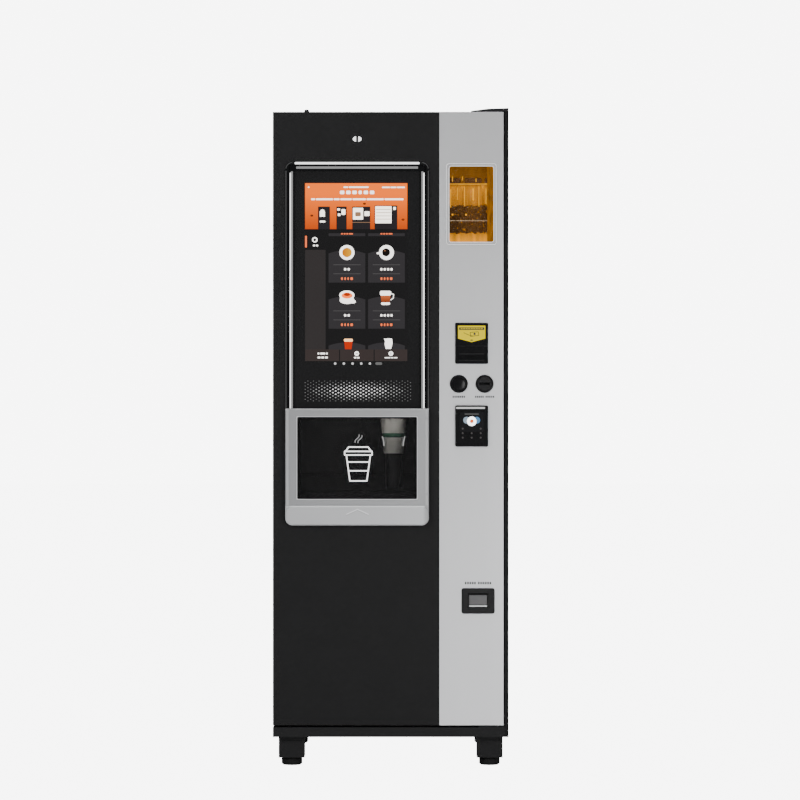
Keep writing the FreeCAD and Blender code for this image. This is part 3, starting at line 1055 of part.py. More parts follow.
def lock():
    """Round lock face in the door's left return, and the bar it lifts inside the door."""
    at = ("door_thick / 2", "lock_z")
    face = rod("lock_disc", "x", LOCK_RADIUS, (LEFT, f"{LEFT} + lock_face"), at)
    recess = rod("lock_recess", "x", f"{LOCK_RADIUS} - lock_rim",
                 (f"{LEFT} - overcut", f"{LEFT} + 3"), at)
    grip = box("lock_grip_bar", (LEFT, f"{LEFT} + 4"),
               ("door_thick / 2 - lock_grip / 2", "door_thick / 2 + lock_grip / 2"),
               (f"lock_z - {LOCK_RADIUS} + 3", f"lock_z + {LOCK_RADIUS} - 3"))
    hub = rod("lock_hub_rod", "x", "lock_hub", (f"{LEFT} + lock_face - 1", f"{LEFT} + bar_in - 1"), at)
    node("lock_handle", fuse("lock_all", cut("lock_dish", face, recess), grip, hub))
    node("lock_bar", box("lock_rod", (f"{LEFT} + bar_in", f"{LEFT} + bar_in + bar_thick"),
                         ("door_thick / 2 - bar_width / 2", "door_thick / 2 + bar_width / 2"),
                         ("lock_z - bar_half", "lock_z + bar_half")))


for build in (cabinet, rear, hinges, feet, equipment_frame, cup_bay, cup_carriage, cup_turret, coffee_side,
              powder_side, water_side, door_shell, skin_and_seal, screen, bean_window, payments, coin_return,
              hatch, lock):
    build()

document.recompute()
faults = [thing.Label for thing in document.Objects if {"Invalid", "Error"} & set(thing.State)]
for label, thing in NODES.items():
    if thing.Shape.isNull() or not thing.Shape.isValid():
        faults.append(label)
if faults:
    raise ValueError("failed: " + ", ".join(faults))
os.makedirs("parts", exist_ok=True)
for label, thing in NODES.items():
    thing.Shape.exportStep(f"parts/{label}.step")
    print(label, len(thing.Shape.Solids), "solids", round(thing.Shape.Volume / 1000), "cm3")
print(len(NODES), "nodes")
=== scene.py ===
import math
import random

import bmesh
import bpy
from mathutils import Matrix, Vector


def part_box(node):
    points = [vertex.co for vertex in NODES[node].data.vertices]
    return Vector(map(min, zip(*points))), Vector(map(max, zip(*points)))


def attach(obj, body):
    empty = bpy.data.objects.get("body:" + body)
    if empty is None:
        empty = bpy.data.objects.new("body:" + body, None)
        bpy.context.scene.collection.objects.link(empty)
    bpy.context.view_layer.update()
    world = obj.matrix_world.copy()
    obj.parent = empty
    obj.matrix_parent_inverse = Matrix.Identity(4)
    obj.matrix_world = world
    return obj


# Coffee vending machine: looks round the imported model.  Metres, +X right, +Y back, +Z up.

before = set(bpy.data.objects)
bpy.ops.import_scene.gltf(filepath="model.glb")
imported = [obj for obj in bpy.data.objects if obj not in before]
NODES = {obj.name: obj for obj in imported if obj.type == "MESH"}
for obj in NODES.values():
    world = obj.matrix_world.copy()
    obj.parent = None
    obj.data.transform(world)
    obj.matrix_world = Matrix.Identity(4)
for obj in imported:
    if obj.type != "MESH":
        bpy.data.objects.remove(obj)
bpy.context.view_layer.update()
MM = 0.001
rng = random.Random(7)


def low(node):
    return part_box(node)[0]


def high(node):
    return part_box(node)[1]


def middle(node):
    return (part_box(node)[0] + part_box(node)[1]) / 2


DOOR_FRONT = low("door_shell").y
GLASS_FRONT = low("screen_glass").y
SCREEN_X = middle("screen_glass").x
LIP_TALL = 54 * MM


# ------------------------------------------------------------------ materials

def noise(material, vector, scale, detail):
    """Noise pattern read at a vector."""
    pattern = material.node_tree.nodes.new("ShaderNodeTexNoise")
    pattern.inputs["Scale"].default_value = scale
    pattern.inputs["Detail"].default_value = detail
    material.node_tree.links.new(vector, pattern.inputs["Vector"])
    return pattern.outputs["Fac"]


def mapped(material, value, **ends):
    """Straight map of a value, with from_min, from_max, to_min and to_max as its ends."""
    run = material.node_tree.nodes.new("ShaderNodeMapRange")
    for end, number in ends.items():
        run.inputs[end.replace("_", " ").title()].default_value = number
    material.node_tree.links.new(value, run.inputs["Value"])
    return run.outputs["Result"]


def mixed_color(material, share, first, last):
    """Colour that goes from first to last as the share goes from 0 to 1."""
    blend = material.node_tree.nodes.new("ShaderNodeMix")
    blend.data_type = "RGBA"
    blend.inputs["A"].default_value = first + (1,)
    blend.inputs["B"].default_value = last + (1,)
    material.node_tree.links.new(share, blend.inputs["Factor"])
    return blend.outputs["Result"]


def surface(name, color, grain=900.0, bump=0.04, rough=0.5, rough_spread=0.08, shade=0.12,
            stretch=(1, 1, 1), mottle=14.0, limit=1.0, specular=0.5, metal=0.0, alpha=1.0):
    """Principled surface with fine grain in its bump and a soft variation of colour and roughness."""
    material = bpy.data.materials.new(name)
    material.use_nodes = True
    nodes, links = material.node_tree.nodes, material.node_tree.links
    shader = nodes["Principled BSDF"]
    for socket, value in (("Specular IOR Level", specular), ("Metallic", metal), ("Alpha", alpha)):
        shader.inputs[socket].default_value = value
    place = nodes.new("ShaderNodeTexCoord")
    scale = nodes.new("ShaderNodeMapping")
    scale.inputs["Scale"].default_value = stretch
    links.new(place.outputs["Object"], scale.inputs["Vector"])
    fine = noise(material, scale.outputs["Vector"], grain, 3.0)
    broad = noise(material, scale.outputs["Vector"], mottle, 4.0)
    tint = mixed_color(material, broad, tuple(c * (1 - shade) for c in color),
                       tuple(min(limit, c * (1 + shade)) for c in color))
    links.new(tint, shader.inputs["Base Color"])
    roughness = mapped(material, fine, to_min=max(0.02, rough - rough_spread),
                       to_max=min(1.0, rough + rough_spread))
    links.new(roughness, shader.inputs["Roughness"])
    grained = nodes.new("ShaderNodeBump")
    grained.inputs["Strength"].default_value = bump
    grained.inputs["Distance"].default_value = 0.0004
    links.new(fine, grained.inputs["Height"])
    links.new(grained.outputs["Normal"], shader.inputs["Normal"])
    return material


def lit(name, color, strength=1.0, shade=0.06, mottle=14.0, stretch=(1, 1, 1)):
    """Glowing surface with a faint grain under gloss."""
    material = surface(name, color, grain=1500, bump=0.0, rough=0.3, shade=shade, mottle=mottle,
                       stretch=stretch, limit=8.0, specular=0.06)
    links = material.node_tree.links
    shader = material.node_tree.nodes["Principled BSDF"]
    tint = shader.inputs["Base Color"].links[0]
    links.new(tint.from_socket, shader.inputs["Emission Color"])
    links.remove(tint)
    shader.inputs["Base Color"].default_value = tuple(c * 0.05 for c in color) + (1.0,)
    shader.inputs["Emission Strength"].default_value = strength
    return material


def node_maths(material):
    """Short hand for sums in a material's nodes: do(operation, first, second) gives the result's socket."""
    nodes, links = material.node_tree.nodes, material.node_tree.links

    def do(operation, first, second=0.0):
        step = nodes.new("ShaderNodeMath")
        step.operation = operation
        for slot, value in zip(step.inputs, (first, second)):
            if isinstance(value, (int, float)):
                slot.default_value = value
            else:
                links.new(value, slot)
        return step.outputs["Value"]
    return do


def position(material):
    """Sockets of x, y and z in the object's own space."""
    place = material.node_tree.nodes.new("ShaderNodeTexCoord")
    split = material.node_tree.nodes.new("ShaderNodeSeparateXYZ")
    material.node_tree.links.new(place.outputs["Object"], split.inputs["Vector"])
    return split.outputs["X"], split.outputs["Y"], split.outputs["Z"]


def graded(name, first, last, axis, start, end):
    """Lit surface whose colour runs from first to last along an axis, in object space."""
    material = lit(name, first)
    share = mapped(material, position(material)["XYZ".index(axis)], from_min=start, from_max=end)
    shader = material.node_tree.nodes["Principled BSDF"]
    material.node_tree.links.new(mixed_color(material, share, first, last), shader.inputs["Emission Color"])
    return material


def brighten(material, gain):
    """Multiply a surface's base colour by a socket of plain numbers."""
    nodes, links = material.node_tree.nodes, material.node_tree.links
    shader = nodes["Principled BSDF"]
    base = shader.inputs["Base Color"].links[0].from_socket
    blend = nodes.new("ShaderNodeVectorMath")
    blend.operation = "SCALE"
    links.new(base, blend.inputs[0])
    links.new(gain, blend.inputs["Scale"])
    links.new(blend.outputs["Vector"], shader.inputs["Base Color"])


def ramp(do, value, start, end, first, last):
    """Straight run from first to last while value goes from start to end."""
    share = do("DIVIDE", do("SUBTRACT", value, start), end - start)
    share = do("MINIMUM", do("MAXIMUM", share, 0.0), 1.0)
    return do("ADD", do("MULTIPLY", share, last - first), first)


def paint_side_skin_floor_light(material):
    """Painted light: the silver column is painted lighter towards the floor, as if lit from below."""
    do = node_maths(material)
    brighten(material, ramp(do, position(material)[2], low("side_skin").z, high("side_skin").z, 1.34, 0.9))


def paint_hatch_light_and_shade(material):
    """Painted light and shade on the hatch plate: a painted highlight makes the handle lip lighter, painted
    shade darkens the lip's right end, a soft painted run of light crosses the plate, and a raised-looking
    chevron is drawn as a painted highlight with a painted shadow under it.
    """
    hatch_low, hatch_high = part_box("hatch_frame")
    do = node_maths(material)
    x, _, z = position(material)
    lip_top = hatch_low.z + LIP_TALL
    # Painted highlight on the lip, and painted shade at its right end.
    lip = ramp(do, z, lip_top - 1 * MM, lip_top + 1 * MM, 1.62, 1.0)
    end = ramp(do, x, hatch_high.x - 16 * MM, hatch_high.x - 8 * MM, 1.0, 0.66)
    in_lip = do("LESS_THAN", z, lip_top)
    end = do("ADD", do("MULTIPLY", do("SUBTRACT", end, 1.0), in_lip), 1.0)
    # Painted light: the plate grows lighter to the right.
    across = ramp(do, x, hatch_low.x, hatch_high.x, 1.0, 1.12)
    chevron_x = (hatch_low.x + hatch_high.x) / 2 + 1.2 * MM
    chevron_half, chevron_slope, chevron_top = 31 * MM, 0.45, lip_top - 9.5 * MM
    line_half, shadow_drop, shadow_half = 1.6 * MM, 2.8 * MM, 1.2 * MM
    # Chevron: painted highlight along its line, painted shadow just below it.
    away = do("ABSOLUTE", do("SUBTRACT", x, chevron_x))
    in_chevron = do("LESS_THAN", away, chevron_half)
    rise = do("SUBTRACT", do("ADD", z, do("MULTIPLY", away, chevron_slope)), chevron_top)
    line = do("MULTIPLY", do("LESS_THAN", do("ABSOLUTE", rise), line_half), in_chevron)
    below = do("ABSOLUTE", do("ADD", rise, shadow_drop))
    shadow = do("MULTIPLY", do("LESS_THAN", below, shadow_half), in_chevron)
    mark = do("SUBTRACT", do("ADD", 1.0, do("MULTIPLY", line, 0.5)), do("MULTIPLY", shadow, 0.22))
    brighten(material, do("MULTIPLY", do("MULTIPLY", lip, end), do("MULTIPLY", across, mark)))


MAT = {
    "black_coat": surface("black_powder_coat", (0.0078, 0.0078, 0.0081), grain=1400, bump=0.22, rough=0.5,
                          specular=0.09),
    # Painted shade: a darker copy of the black powder coat for the right side panel.
    "shaded_black_coat": surface("shaded_black_coat", (0.004, 0.004, 0.0042), grain=1400, bump=0.2, rough=0.5,
                          specular=0.09),
    "plinth": surface("plinth_coat", (0.0092, 0.0092, 0.0096), grain=1200, bump=0.3, rough=0.6,
                      specular=0.1),
    "silver": surface("silver_skin", (0.43, 0.433, 0.442), grain=900, bump=0.03, rough=0.36, shade=0.03,
                      stretch=(1, 1, 0.02), metal=0.35),
    "screw_steel": surface("screw_steel", (0.3, 0.3, 0.31), grain=900, bump=0.05, rough=0.3, metal=0.8),
    "hatch": surface("hatch_silver", (0.235, 0.238, 0.243), grain=1100, bump=0.05, rough=0.34, shade=0.04,
                     metal=0.35),
    # Painted highlight: a lighter copy of the hatch silver for the raised side strips.
    "strip_silver_highlight": surface("strip_silver_highlight", (0.33, 0.333, 0.338), grain=1100, bump=0.04, rough=0.32,
                            shade=0.03, metal=0.3),
    "dark_chrome": surface("dark_chrome", (0.004, 0.004, 0.0045), grain=300, bump=0.01, rough=0.14,
                           rough_spread=0.04, specular=0.1),
    "chrome": surface("chrome", (0.5, 0.503, 0.51), grain=300, bump=0.01, rough=0.16, rough_spread=0.05,
                      shade=0.02, metal=0.35),
    "glass_black": surface("black_glass", (0.0105, 0.0105, 0.0108), grain=200, bump=0.0, rough=0.07,
                           rough_spread=0.02, shade=0.05, specular=0.1),
    "smoked": surface("smoked_glass", (0.012, 0.012, 0.0125), grain=200, bump=0.0, rough=0.06,
                      rough_spread=0.02, alpha=0.36, specular=0.14),
    "clear": surface("clear_glass", (0.02, 0.02, 0.02), grain=200, bump=0.0, rough=0.05, rough_spread=0.02,
                     alpha=0.05, specular=0.3),
    "steel": surface("brushed_steel", (0.55, 0.56, 0.57), grain=700, bump=0.12, rough=0.32, shade=0.08,
                     stretch=(0.05, 1, 1), metal=1.0),
    "galvanised": surface("galvanised_sheet", (0.48, 0.49, 0.5), grain=160, bump=0.05, rough=0.42,
                          rough_spread=0.14, shade=0.2, mottle=70.0, metal=0.9),
    "bay_black": surface("bay_plastic", (0.012, 0.012, 0.0125), grain=1000, bump=0.15, rough=0.45,
                         specular=0.25),
    "plastic": surface("black_plastic", (0.0052, 0.0052, 0.0056), grain=1500, bump=0.16, rough=0.42,
                       specular=0.16),
    "gloss": surface("gloss_black", (0.004, 0.004, 0.0045), grain=400, bump=0.01, rough=0.16,
                     specular=0.16),
    "rubber": surface("rubber", (0.0055, 0.0055, 0.0055), grain=900, bump=0.25, rough=0.75,
                      specular=0.15),
    "white": surface("white_plastic", (0.72, 0.72, 0.71), grain=900, bump=0.06, rough=0.4, shade=0.03),
    "paper": surface("cup_paper", (0.55, 0.54, 0.5), grain=700, bump=0.1, rough=0.65, shade=0.05),
    "band": surface("cup_band", (0.03, 0.12, 0.07), grain=700, bump=0.08, rough=0.55),
    "bottle": surface("water_bottle", (0.2, 0.42, 0.62), grain=60, bump=0.05, rough=0.12, alpha=0.55),
    "tube": surface("clear_tube", (0.75, 0.77, 0.8), grain=300, bump=0.02, rough=0.12, alpha=0.3),
    "canister": surface("canister_plastic", (0.7, 0.72, 0.74), grain=500, bump=0.04, rough=0.2, alpha=0.45),
    "amber": surface("amber_hopper", (0.5, 0.2, 0.03), grain=300, bump=0.03, rough=0.14, alpha=0.12),
    "bean": surface("roasted_bean", (0.022, 0.008, 0.003), grain=500, bump=0.2, rough=0.36, shade=0.4,
                    mottle=90.0, specular=0.4),
    "white_print": lit("white_print", (1.0, 1.0, 1.0), 2.0),
    "label_dark": surface("dark_print", (0.035, 0.035, 0.037), grain=900, bump=0.02, rough=0.5,
                          specular=0.1),
    "yellow": lit("yellow_label", (1.0, 0.78, 0.0), 0.95),
    "gray_steam": lit("gray_steam", (0.42, 0.42, 0.42)),
    "bay_lamp": lit("bay_lamp", (1.0, 0.98, 0.94), 14.0),
    "claw_glint": lit("claw_glint", (0.9, 0.9, 0.88), 1.3),
    # Painted highlight for the edges of the window's trim.
    "trim_highlight_line": lit("trim_highlight_line", (0.9, 0.9, 0.9), 1.6),
    # Painted highlight: glowing rim round the hatch window.
    "window_rim_highlight": lit("window_rim_highlight", (0.75, 0.75, 0.76)),
    # Painted reflections: glowing lines for the chrome rings of the screen's bezel.
    "chrome_reflection_line": lit("chrome_reflection_line", (1.0, 1.0, 1.0), 2.2),
    "rim_reflection_mid": lit("rim_reflection_mid", (0.3, 0.3, 0.303)),
    "rim_reflection_dim": lit("rim_reflection_dim", (0.1, 0.1, 0.102)),
    "flap_gray": surface("flap_gray", (0.062, 0.06, 0.063), grain=900, bump=0.06, rough=0.35),
    "jar": surface("amber_jar", (0.5, 0.2, 0.01), grain=200, bump=0.0, rough=0.08, alpha=0.22),
    # Painted highlights: glowing amber streaks on the jars, and glints among the beans.
    "amber_highlight": lit("painted_amber_highlight", (1.5, 0.66, 0.02), shade=0.6, mottle=60.0),
    "ledge": surface("ledge_metal", (0.8, 0.6, 0.4), grain=500, bump=0.02, rough=0.25, metal=0.6),
    "lid_brown": surface("lid_brown", (0.045, 0.015, 0.004), grain=500, bump=0.03, rough=0.2),
    "hose": surface("silicone_hose", (0.35, 0.36, 0.38), grain=700, bump=0.06, rough=0.4, alpha=0.85),
    "band_steel": surface("band_steel", (0.5, 0.5, 0.51), grain=900, bump=0.05, rough=0.25, metal=1.0),
}


def paint(node, material, bevel=None):
    """Give a CAD node its finished material, and soften its edges where they catch the light."""
    thing = NODES[node]
    thing.data.materials.clear()
    thing.data.materials.append(MAT[material])
    if bevel:
        rounding = thing.modifiers.new("edge", "BEVEL")
        rounding.width = bevel
        rounding.segments = 2
        rounding.limit_method = "ANGLE"
        rounding.angle_limit = math.radians(50)
        rounding.harden_normals = True


PAINTS = {
    "black_coat": ("door_shell", "side_panel_left", "roof_panel"), "shaded_black_coat": ("side_panel_right",),
    "plinth": ("base_plinth", "upper_hinge_bracket", "lower_hinge_bracket", "leg_housings"),
    "silver": ("side_skin",), "hatch": ("hatch_frame",), "dark_chrome": ("screen_bezel",),
    "chrome": ("window_trim",),
    "glass_black": ("screen_glass", "display_panel"), "smoked": ("hatch_window",), "clear": ("window_glass",),
    "steel": ("dispense_nozzle", "boiler", "claw_left", "claw_right", "brewer_piston",
              "lock_handle", "panel_screws"),
    "galvanised": ("rear_panel", "floor_pan", "equipment_frame", "power_supply", "lock_bar"),
    "bay_black": ("bay_liner", "cup_carriage", "drip_tray"),
    "plastic": ("grinder", "water_pump", "mains_inlet", "bean_hopper_lid", "canister_lid", "waste_bin",
                "coin_slot", "button_bezel", "coin_return_frame", "coin_changer", "coin_return_flap"),
    "gloss": ("bill_validator", "card_reader", "change_button"),
    "rubber": ("door_gasket", "foot_front_left", "foot_rear_left", "foot_front_right", "foot_rear_right"),
    "white": ("brewer_body", "mixing_bowl", "canister_auger_1", "canister_auger_2", "whipper"),
    "paper": ("paper_cup",), "bottle": ("water_bottle",), "tube": ("cup_turret",),
    "canister": ("powder_canisters",), "amber": ("bean_hopper",),
}
BEVELS = {"hatch_frame": 0.0012, "bill_validator": 0.0006, "card_reader": 0.0006, "base_plinth": 0.0006,
          "leg_housings": 0.0015, "coin_return_frame": 0.0006, "waste_bin": 0.001, "brewer_body": 0.002,
          "upper_hinge_bracket": 0.0008}
paint_side_skin_floor_light(MAT["silver"])
paint_hatch_light_and_shade(MAT["hatch"])
for material_name, painted in PAINTS.items():
    for node_name in painted:
        paint(node_name, material_name, BEVELS.get(node_name))


# ------------------------------------------------------------------ shapes facing the customer

def ring_of(x, z, radius, count=32, squash=1.0):
    """Circle, or an ellipse where it is squashed, as a closed outline."""
    turns = [math.tau * k / count for k in range(count)]
    return [(x + radius * math.cos(turn), z + radius * squash * math.sin(turn)) for turn in turns]


def rounded(x, z, width, tall, radius=0.0, count=5):
    """Outline of a rectangle about its middle, with round corners."""
    radius = min(radius, width / 2, tall / 2)
    if radius <= 0:
        return [(x - width / 2, z - tall / 2), (x + width / 2, z - tall / 2),
                (x + width / 2, z + tall / 2), (x - width / 2, z + tall / 2)]
    points = []
    for corner, (sx, sz) in enumerate(((1, -1), (1, 1), (-1, 1), (-1, -1))):
        for k in range(count + 1):
            angle = math.radians(-90 + 90 * corner + 90 * k / count)
            points.append((x + sx * (width / 2 - radius) + radius * math.cos(angle),
                           z + sz * (tall / 2 - radius) + radius * math.sin(angle)))
    return points


def stroke(points, width):
    """Outlines of the straight pieces of a drawn line, with round joints."""
    shapes = [ring_of(x, z, width / 2, 12) for x, z in points]
    for (ax, az), (bx, bz) in zip(points, points[1:]):
        length = math.hypot(bx - ax, bz - az)
        nx, nz = -(bz - az) / length * width / 2, (bx - ax) / length * width / 2
        shapes.append([(ax + nx, az + nz), (ax - nx, az - nz), (bx - nx, bz - nz), (bx + nx, bz + nz)])
    return shapes


def finish_piece(name, mesh_builder, material, body, bevel=None, smooth=False):
    """Named object from a built mesh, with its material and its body."""
    mesh = bpy.data.meshes.new(name)
    bmesh.ops.recalc_face_normals(mesh_builder, faces=mesh_builder.faces)
    mesh_builder.to_mesh(mesh)
    mesh_builder.free()
    thing = bpy.data.objects.new(name, mesh)
    bpy.context.scene.collection.objects.link(thing)
    mesh.materials.append(MAT[material] if isinstance(material, str) else material)
    if smooth:
        mesh.shade_smooth()
    if bevel:
        rounding = thing.modifiers.new("edge", "BEVEL")
        rounding.width = bevel
        rounding.segments = 2
        rounding.limit_method = "ANGLE"
    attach(thing, body)


def stitch(builder, rings):
    """Walls between neighbouring rings of vertices."""
    for near, far in zip(rings, rings[1:]):
        for k in range(len(near)):
            after = (k + 1) % len(near)
            builder.faces.new((near[k], near[after], far[after], far[k]))


def turned_rings(builder, centre, profile, count):
    """Rings of vertices round an upright axis, one for each (radius, height) pair."""
    x, y = centre
    turns = [math.tau * k / count for k in range(count)]
    return [[builder.verts.new((x + r * math.cos(turn), y + r * math.sin(turn), z)) for turn in turns]
            for r, z in profile]


def lathe(name, centre, profile, material, body, count=32, smooth=False):
    """Solid turned about an upright axis from (radius, height) pairs."""
    builder = bmesh.new()
    rings = turned_rings(builder, centre, profile, count)
    stitch(builder, rings)
    builder.faces.new(rings[0])
    builder.faces.new(rings[-1])
    finish_piece(name, builder, material, body, smooth=smooth)


def sleeve(name, centre, profile, material):
    """Thin skin round the cup's axis, closed inwards so that it has no loose edge."""
    inner = [(r - 0.1 * MM, z) for r, z in reversed(profile)]
    builder = bmesh.new()
    rings = turned_rings(builder, centre, profile + inner, 40)
    stitch(builder, rings + rings[:1])
    finish_piece(name, builder, material, "cup_carriage", smooth=True)


def tile(x, z, across, up, wide, tall, radius):
    """Rectangle with round corners, all in millimetres from a place on the machine."""
    return rounded(x + across * MM, z + up * MM, wide * MM, tall * MM, radius * MM)


def from_place(x, z, points):
    """Points given in millimetres right and up from a place on the machine."""
    return [(x + u * MM, z + v * MM) for u, v in points]


def relief(name, outlines, front, thick, material, body, bevel=None):
    """Flat shapes standing out of a face that looks at the customer: each outline becomes a thin plate."""
    builder = bmesh.new()
    for points in outlines:
        near = [builder.verts.new((x, front, z)) for x, z in points]
        far = [builder.verts.new((x, front + thick, z)) for x, z in points]
        builder.faces.new(near)
        builder.faces.new(list(reversed(far)))
        for k in range(len(points)):
            after = (k + 1) % len(points)
            builder.faces.new((near[k], far[k], far[after], near[after]))
    finish_piece(name, builder, material, body, bevel)


def frame_ring(name, outer, inner, front, thick, material, body, bevel=None):
    """Plate with a hole: two outlines with the same number of points."""
    builder = bmesh.new()
    loops = [[builder.verts.new((x, y, z)) for x, z in points]
             for points in (outer, inner) for y in (front, front + thick)]
    stitch(builder, [loops[0], loops[1], loops[3], loops[2], loops[0]])
    finish_piece(name, builder, material, body, bevel)


# ------------------------------------------------------------------ touch screen

SCREEN_W, SCREEN_H = 284.0, 494.0
SCREEN_LEFT = SCREEN_X - 144.6 * MM
SCREEN_TOP = high("screen_glass").z - 34.5 * MM
LAYER = 0.12 * MM


def on_screen(points):
    """From millimetres right and down from the picture's top left corner to the machine's frame."""
    return [(SCREEN_LEFT + u * MM, SCREEN_TOP - v * MM) for u, v in points]


def panel_shape(left, right, top, bottom, radius=0.0):
    return on_screen(rounded((left + right) / 2, (top + bottom) / 2, right - left, bottom - top, radius))


def disc(u, v, radius, count=28, squash=1.0):
    return on_screen(ring_of(u, v, radius, count, squash))


def show(name, outlines, layer, material):
    """One layer of the picture; higher layers stand a hair in front."""
    relief("screen_" + name, outlines, GLASS_FRONT - LAYER * (layer + 1), LAYER, material, "door")


def words(left, right, middle_v, tall, widths):
    """Row of plain blocks where a line of words would be."""
    gap, half = tall * 0.45, tall * 0.4
    unit = (right - left - gap * (len(widths) - 1)) / sum(widths)
    shapes = []
    at = left
    for width in widths:
        shapes.append(panel_shape(at, at + width * unit, middle_v - half, middle_v + half, tall * 0.2))
        at += width * unit + gap
    return shapes


CARD_TOPS = (195.0, 323.0, 451.0)
CARD_MIDDLES = (116.3, 226.0)
CARD_HALF = 51.0


def card(centre, top, bottom):
    """Card with an arched top edge."""
    points = [(centre - CARD_HALF, bottom), (centre + CARD_HALF, bottom)]
    steps = 12
    for k in range(steps + 1):
        u = CARD_HALF - 2 * CARD_HALF * k / steps
        points.append((centre + u, top - 9.0 * (1 - (u / CARD_HALF) ** 2)))
    return on_screen(points)


def touch_screen():
    orange = graded("banner_orange", (0.74, 0.085, 0.002), (1.7, 0.27, 0.004), "Z",
                    SCREEN_TOP - 0.127, SCREEN_TOP - 0.03)
    dark = lit("menu_dark", (0.0125, 0.012, 0.0125))
    card_gray = lit("card_gray", (0.037, 0.034, 0.037))
    side_gray = lit("sidebar_gray", (0.037, 0.032, 0.032))
    bar_brown = lit("bar_brown", (0.047, 0.035, 0.033))
    white = lit("screen_white", (1.0, 0.97, 0.92), 2.6)
    price = lit("price_orange", (1.5, 0.26, 0.07))
    coffee = lit("coffee_black", (0.008, 0.005, 0.004))
    show("menu", [panel_shape(0, SCREEN_W, 127, SCREEN_H)], 0, dark)
    show("banner", [panel_shape(0, SCREEN_W, 0, 127.5)], 1, orange)
    show("sidebar", [panel_shape(0, 57, 185, 462)], 1, side_gray)
    show("bottom_bar", [panel_shape(0, 94.5, 461.5, SCREEN_H), panel_shape(97, 190.5, 461.5, SCREEN_H),
                        panel_shape(193, SCREEN_W, 461.5, SCREEN_H)], 3, bar_brown)
    cards = [card(centre, top, min(top + 81, 462)) for top in CARD_TOPS for centre in CARD_MIDDLES]
    cards += [panel_shape(centre - CARD_HALF, centre + CARD_HALF, 139, 147, 1) for centre in CARD_MIDDLES]
    show("cards", cards, 1, card_gray)
    marks = [disc(10, 11, 2.4, 5)]
    marks += words(107, 176, 11, 5, (2, 9))
    marks += words(214, 277, 11.5, 4.5, (4, 3, 4))
    marks += words(97, 192, 25.5, 12, (3, 3, 3, 2.2, 3, 3))
    marks += words(17, 273, 44.5, 6, (2, 9, 3, 6, 7, 9, 10))
    marks += words(22, 36, 173, 5.5, (1, 1))
    for centre in CARD_MIDDLES:
        for top in CARD_TOPS[:2]:
            wide = 8 if centre < 200 else 17
            marks += words(centre - wide, centre + wide, top + 44, 8, (1, 1) if wide < 10 else (1, 1, 1, 1))
    marks += words(35, 63, 473, 6, (1, 3, 1)) + words(35, 63, 484, 6, (1, 1, 1))
    marks += words(136, 151, 484.5, 5, (1, 1)) + words(221, 256, 484.5, 3.5, (5, 2, 3))
    marks += [disc(143.4, 473, 6.4), disc(238.3, 473, 6.4)]
    show("white_marks", marks, 4, white)
    show("icon_cuts", [panel_shape(140, 147, 472, 474.4, 1), panel_shape(237.2, 239.4, 469, 477, 1)], 5,
         bar_brown)
    lines = []
    for centre in CARD_MIDDLES:
        for top in CARD_TOPS[:2]:
            lines += [panel_shape(centre - 38, centre + 38, top + rise, top + rise + 1.1, 0.5)
                      for rise in (31, 56)]
    show("card_lines", lines, 2, lit("line_gray", (0.13, 0.125, 0.125)))
    prices = []
    for centre in CARD_MIDDLES:
        prices += words(centre - 16.5, centre + 16.5, 140.5, 4.5, (1, 1, 1, 2))
        for top in CARD_TOPS[:2]:
            prices += words(centre - 16.5, centre + 16.5, top + 70, 9, (1.2, 1, 1, 1.6))
    prices.append(panel_shape(0, 5, 146, 178.5, 1.5))
    show("prices", prices, 3, price)
    mugs = [disc(116.3, 192.4, 20.8), disc(226.0, 192.4, 20.8), panel_shape(199, 208, 192, 197, 2)]
    mugs += [disc(116.0, 311, 21, squash=0.62), disc(116.5, 325, 20.5, squash=0.5),
             panel_shape(97, 135, 309, 326, 6), disc(133, 329, 8, squash=0.6)]
    mugs += [panel_shape(208, 239, 299, 312, 4), panel_shape(211, 236, 330, 338, 4)]
    mugs += [on_screen([(224, 432), (229, 431), (241, 431), (243, 443), (239, 460), (224, 460), (221, 446)]),
             on_screen([(219, 431), (229, 433), (224, 443)])]
    mugs += [disc(27, 157, 7.5)]
    show("mugs", mugs, 5, white)
    show("mug_inside", [disc(27, 157, 4.2), disc(24, 149, 2)], 6, dark)
    show("espresso", [disc(116.3, 192.4, 13.2)], 6,
         graded("espresso_gold", (0.75, 0.19, 0.0), (1.15, 0.56, 0.0), "X",
                SCREEN_LEFT + 103 * MM, SCREEN_LEFT + 130 * MM))
    show("black_coffee", [disc(225.0, 192.0, 11.2)], 6, coffee)
    show("coffee_glint", [disc(221.5, 187.5, 3.0, squash=0.6)], 7, lit("glint", (0.3, 0.13, 0.06)))
    show("cappuccino", [disc(116.5, 312, 15.2, squash=0.55)], 6, lit("crema", (2.0, 0.31, 0.05)))
    show("cappuccino_art", [disc(116.5, 309, 8.6, squash=0.5)], 7, lit("cocoa", (0.54, 0.035, 0.002)))
    show("latte", [on_screen([(210, 312), (237, 312), (235, 331), (212, 331)])], 6,
         graded("latte_brown", (0.25, 0.04, 0.008), (0.8, 0.18, 0.054), "Z",
                SCREEN_TOP - 331 * MM, SCREEN_TOP - 312 * MM))
    handle = stroke([(238, 306), (246, 309), (245, 319), (238, 324)], 2.2)
    show("latte_handle", [on_screen(shape) for shape in handle], 6, white)
    show("iced_tea", [on_screen([(108.5, 437), (132, 437), (129, 461), (111, 461)])], 5,
         lit("tea_red", (0.68, 0.03, 0.001)))
    show("iced_tea_top", [panel_shape(108, 132.5, 432, 440, 3)], 6, lit("foam", (1.0, 0.55, 0.25), 2.5))
    machines()
    dots = [disc(u, 500.8, 3.3) for u in (83.5, 107.7, 131.9, 156.0, 180.0)]
    show("page_dots", dots, 0, lit("dot_white", (0.9, 0.9, 0.9)))
    show("page_pill", [panel_shape(195, 214, 497, 504.6, 3.8)], 0, lit("pill_gray", (0.16, 0.16, 0.16)))


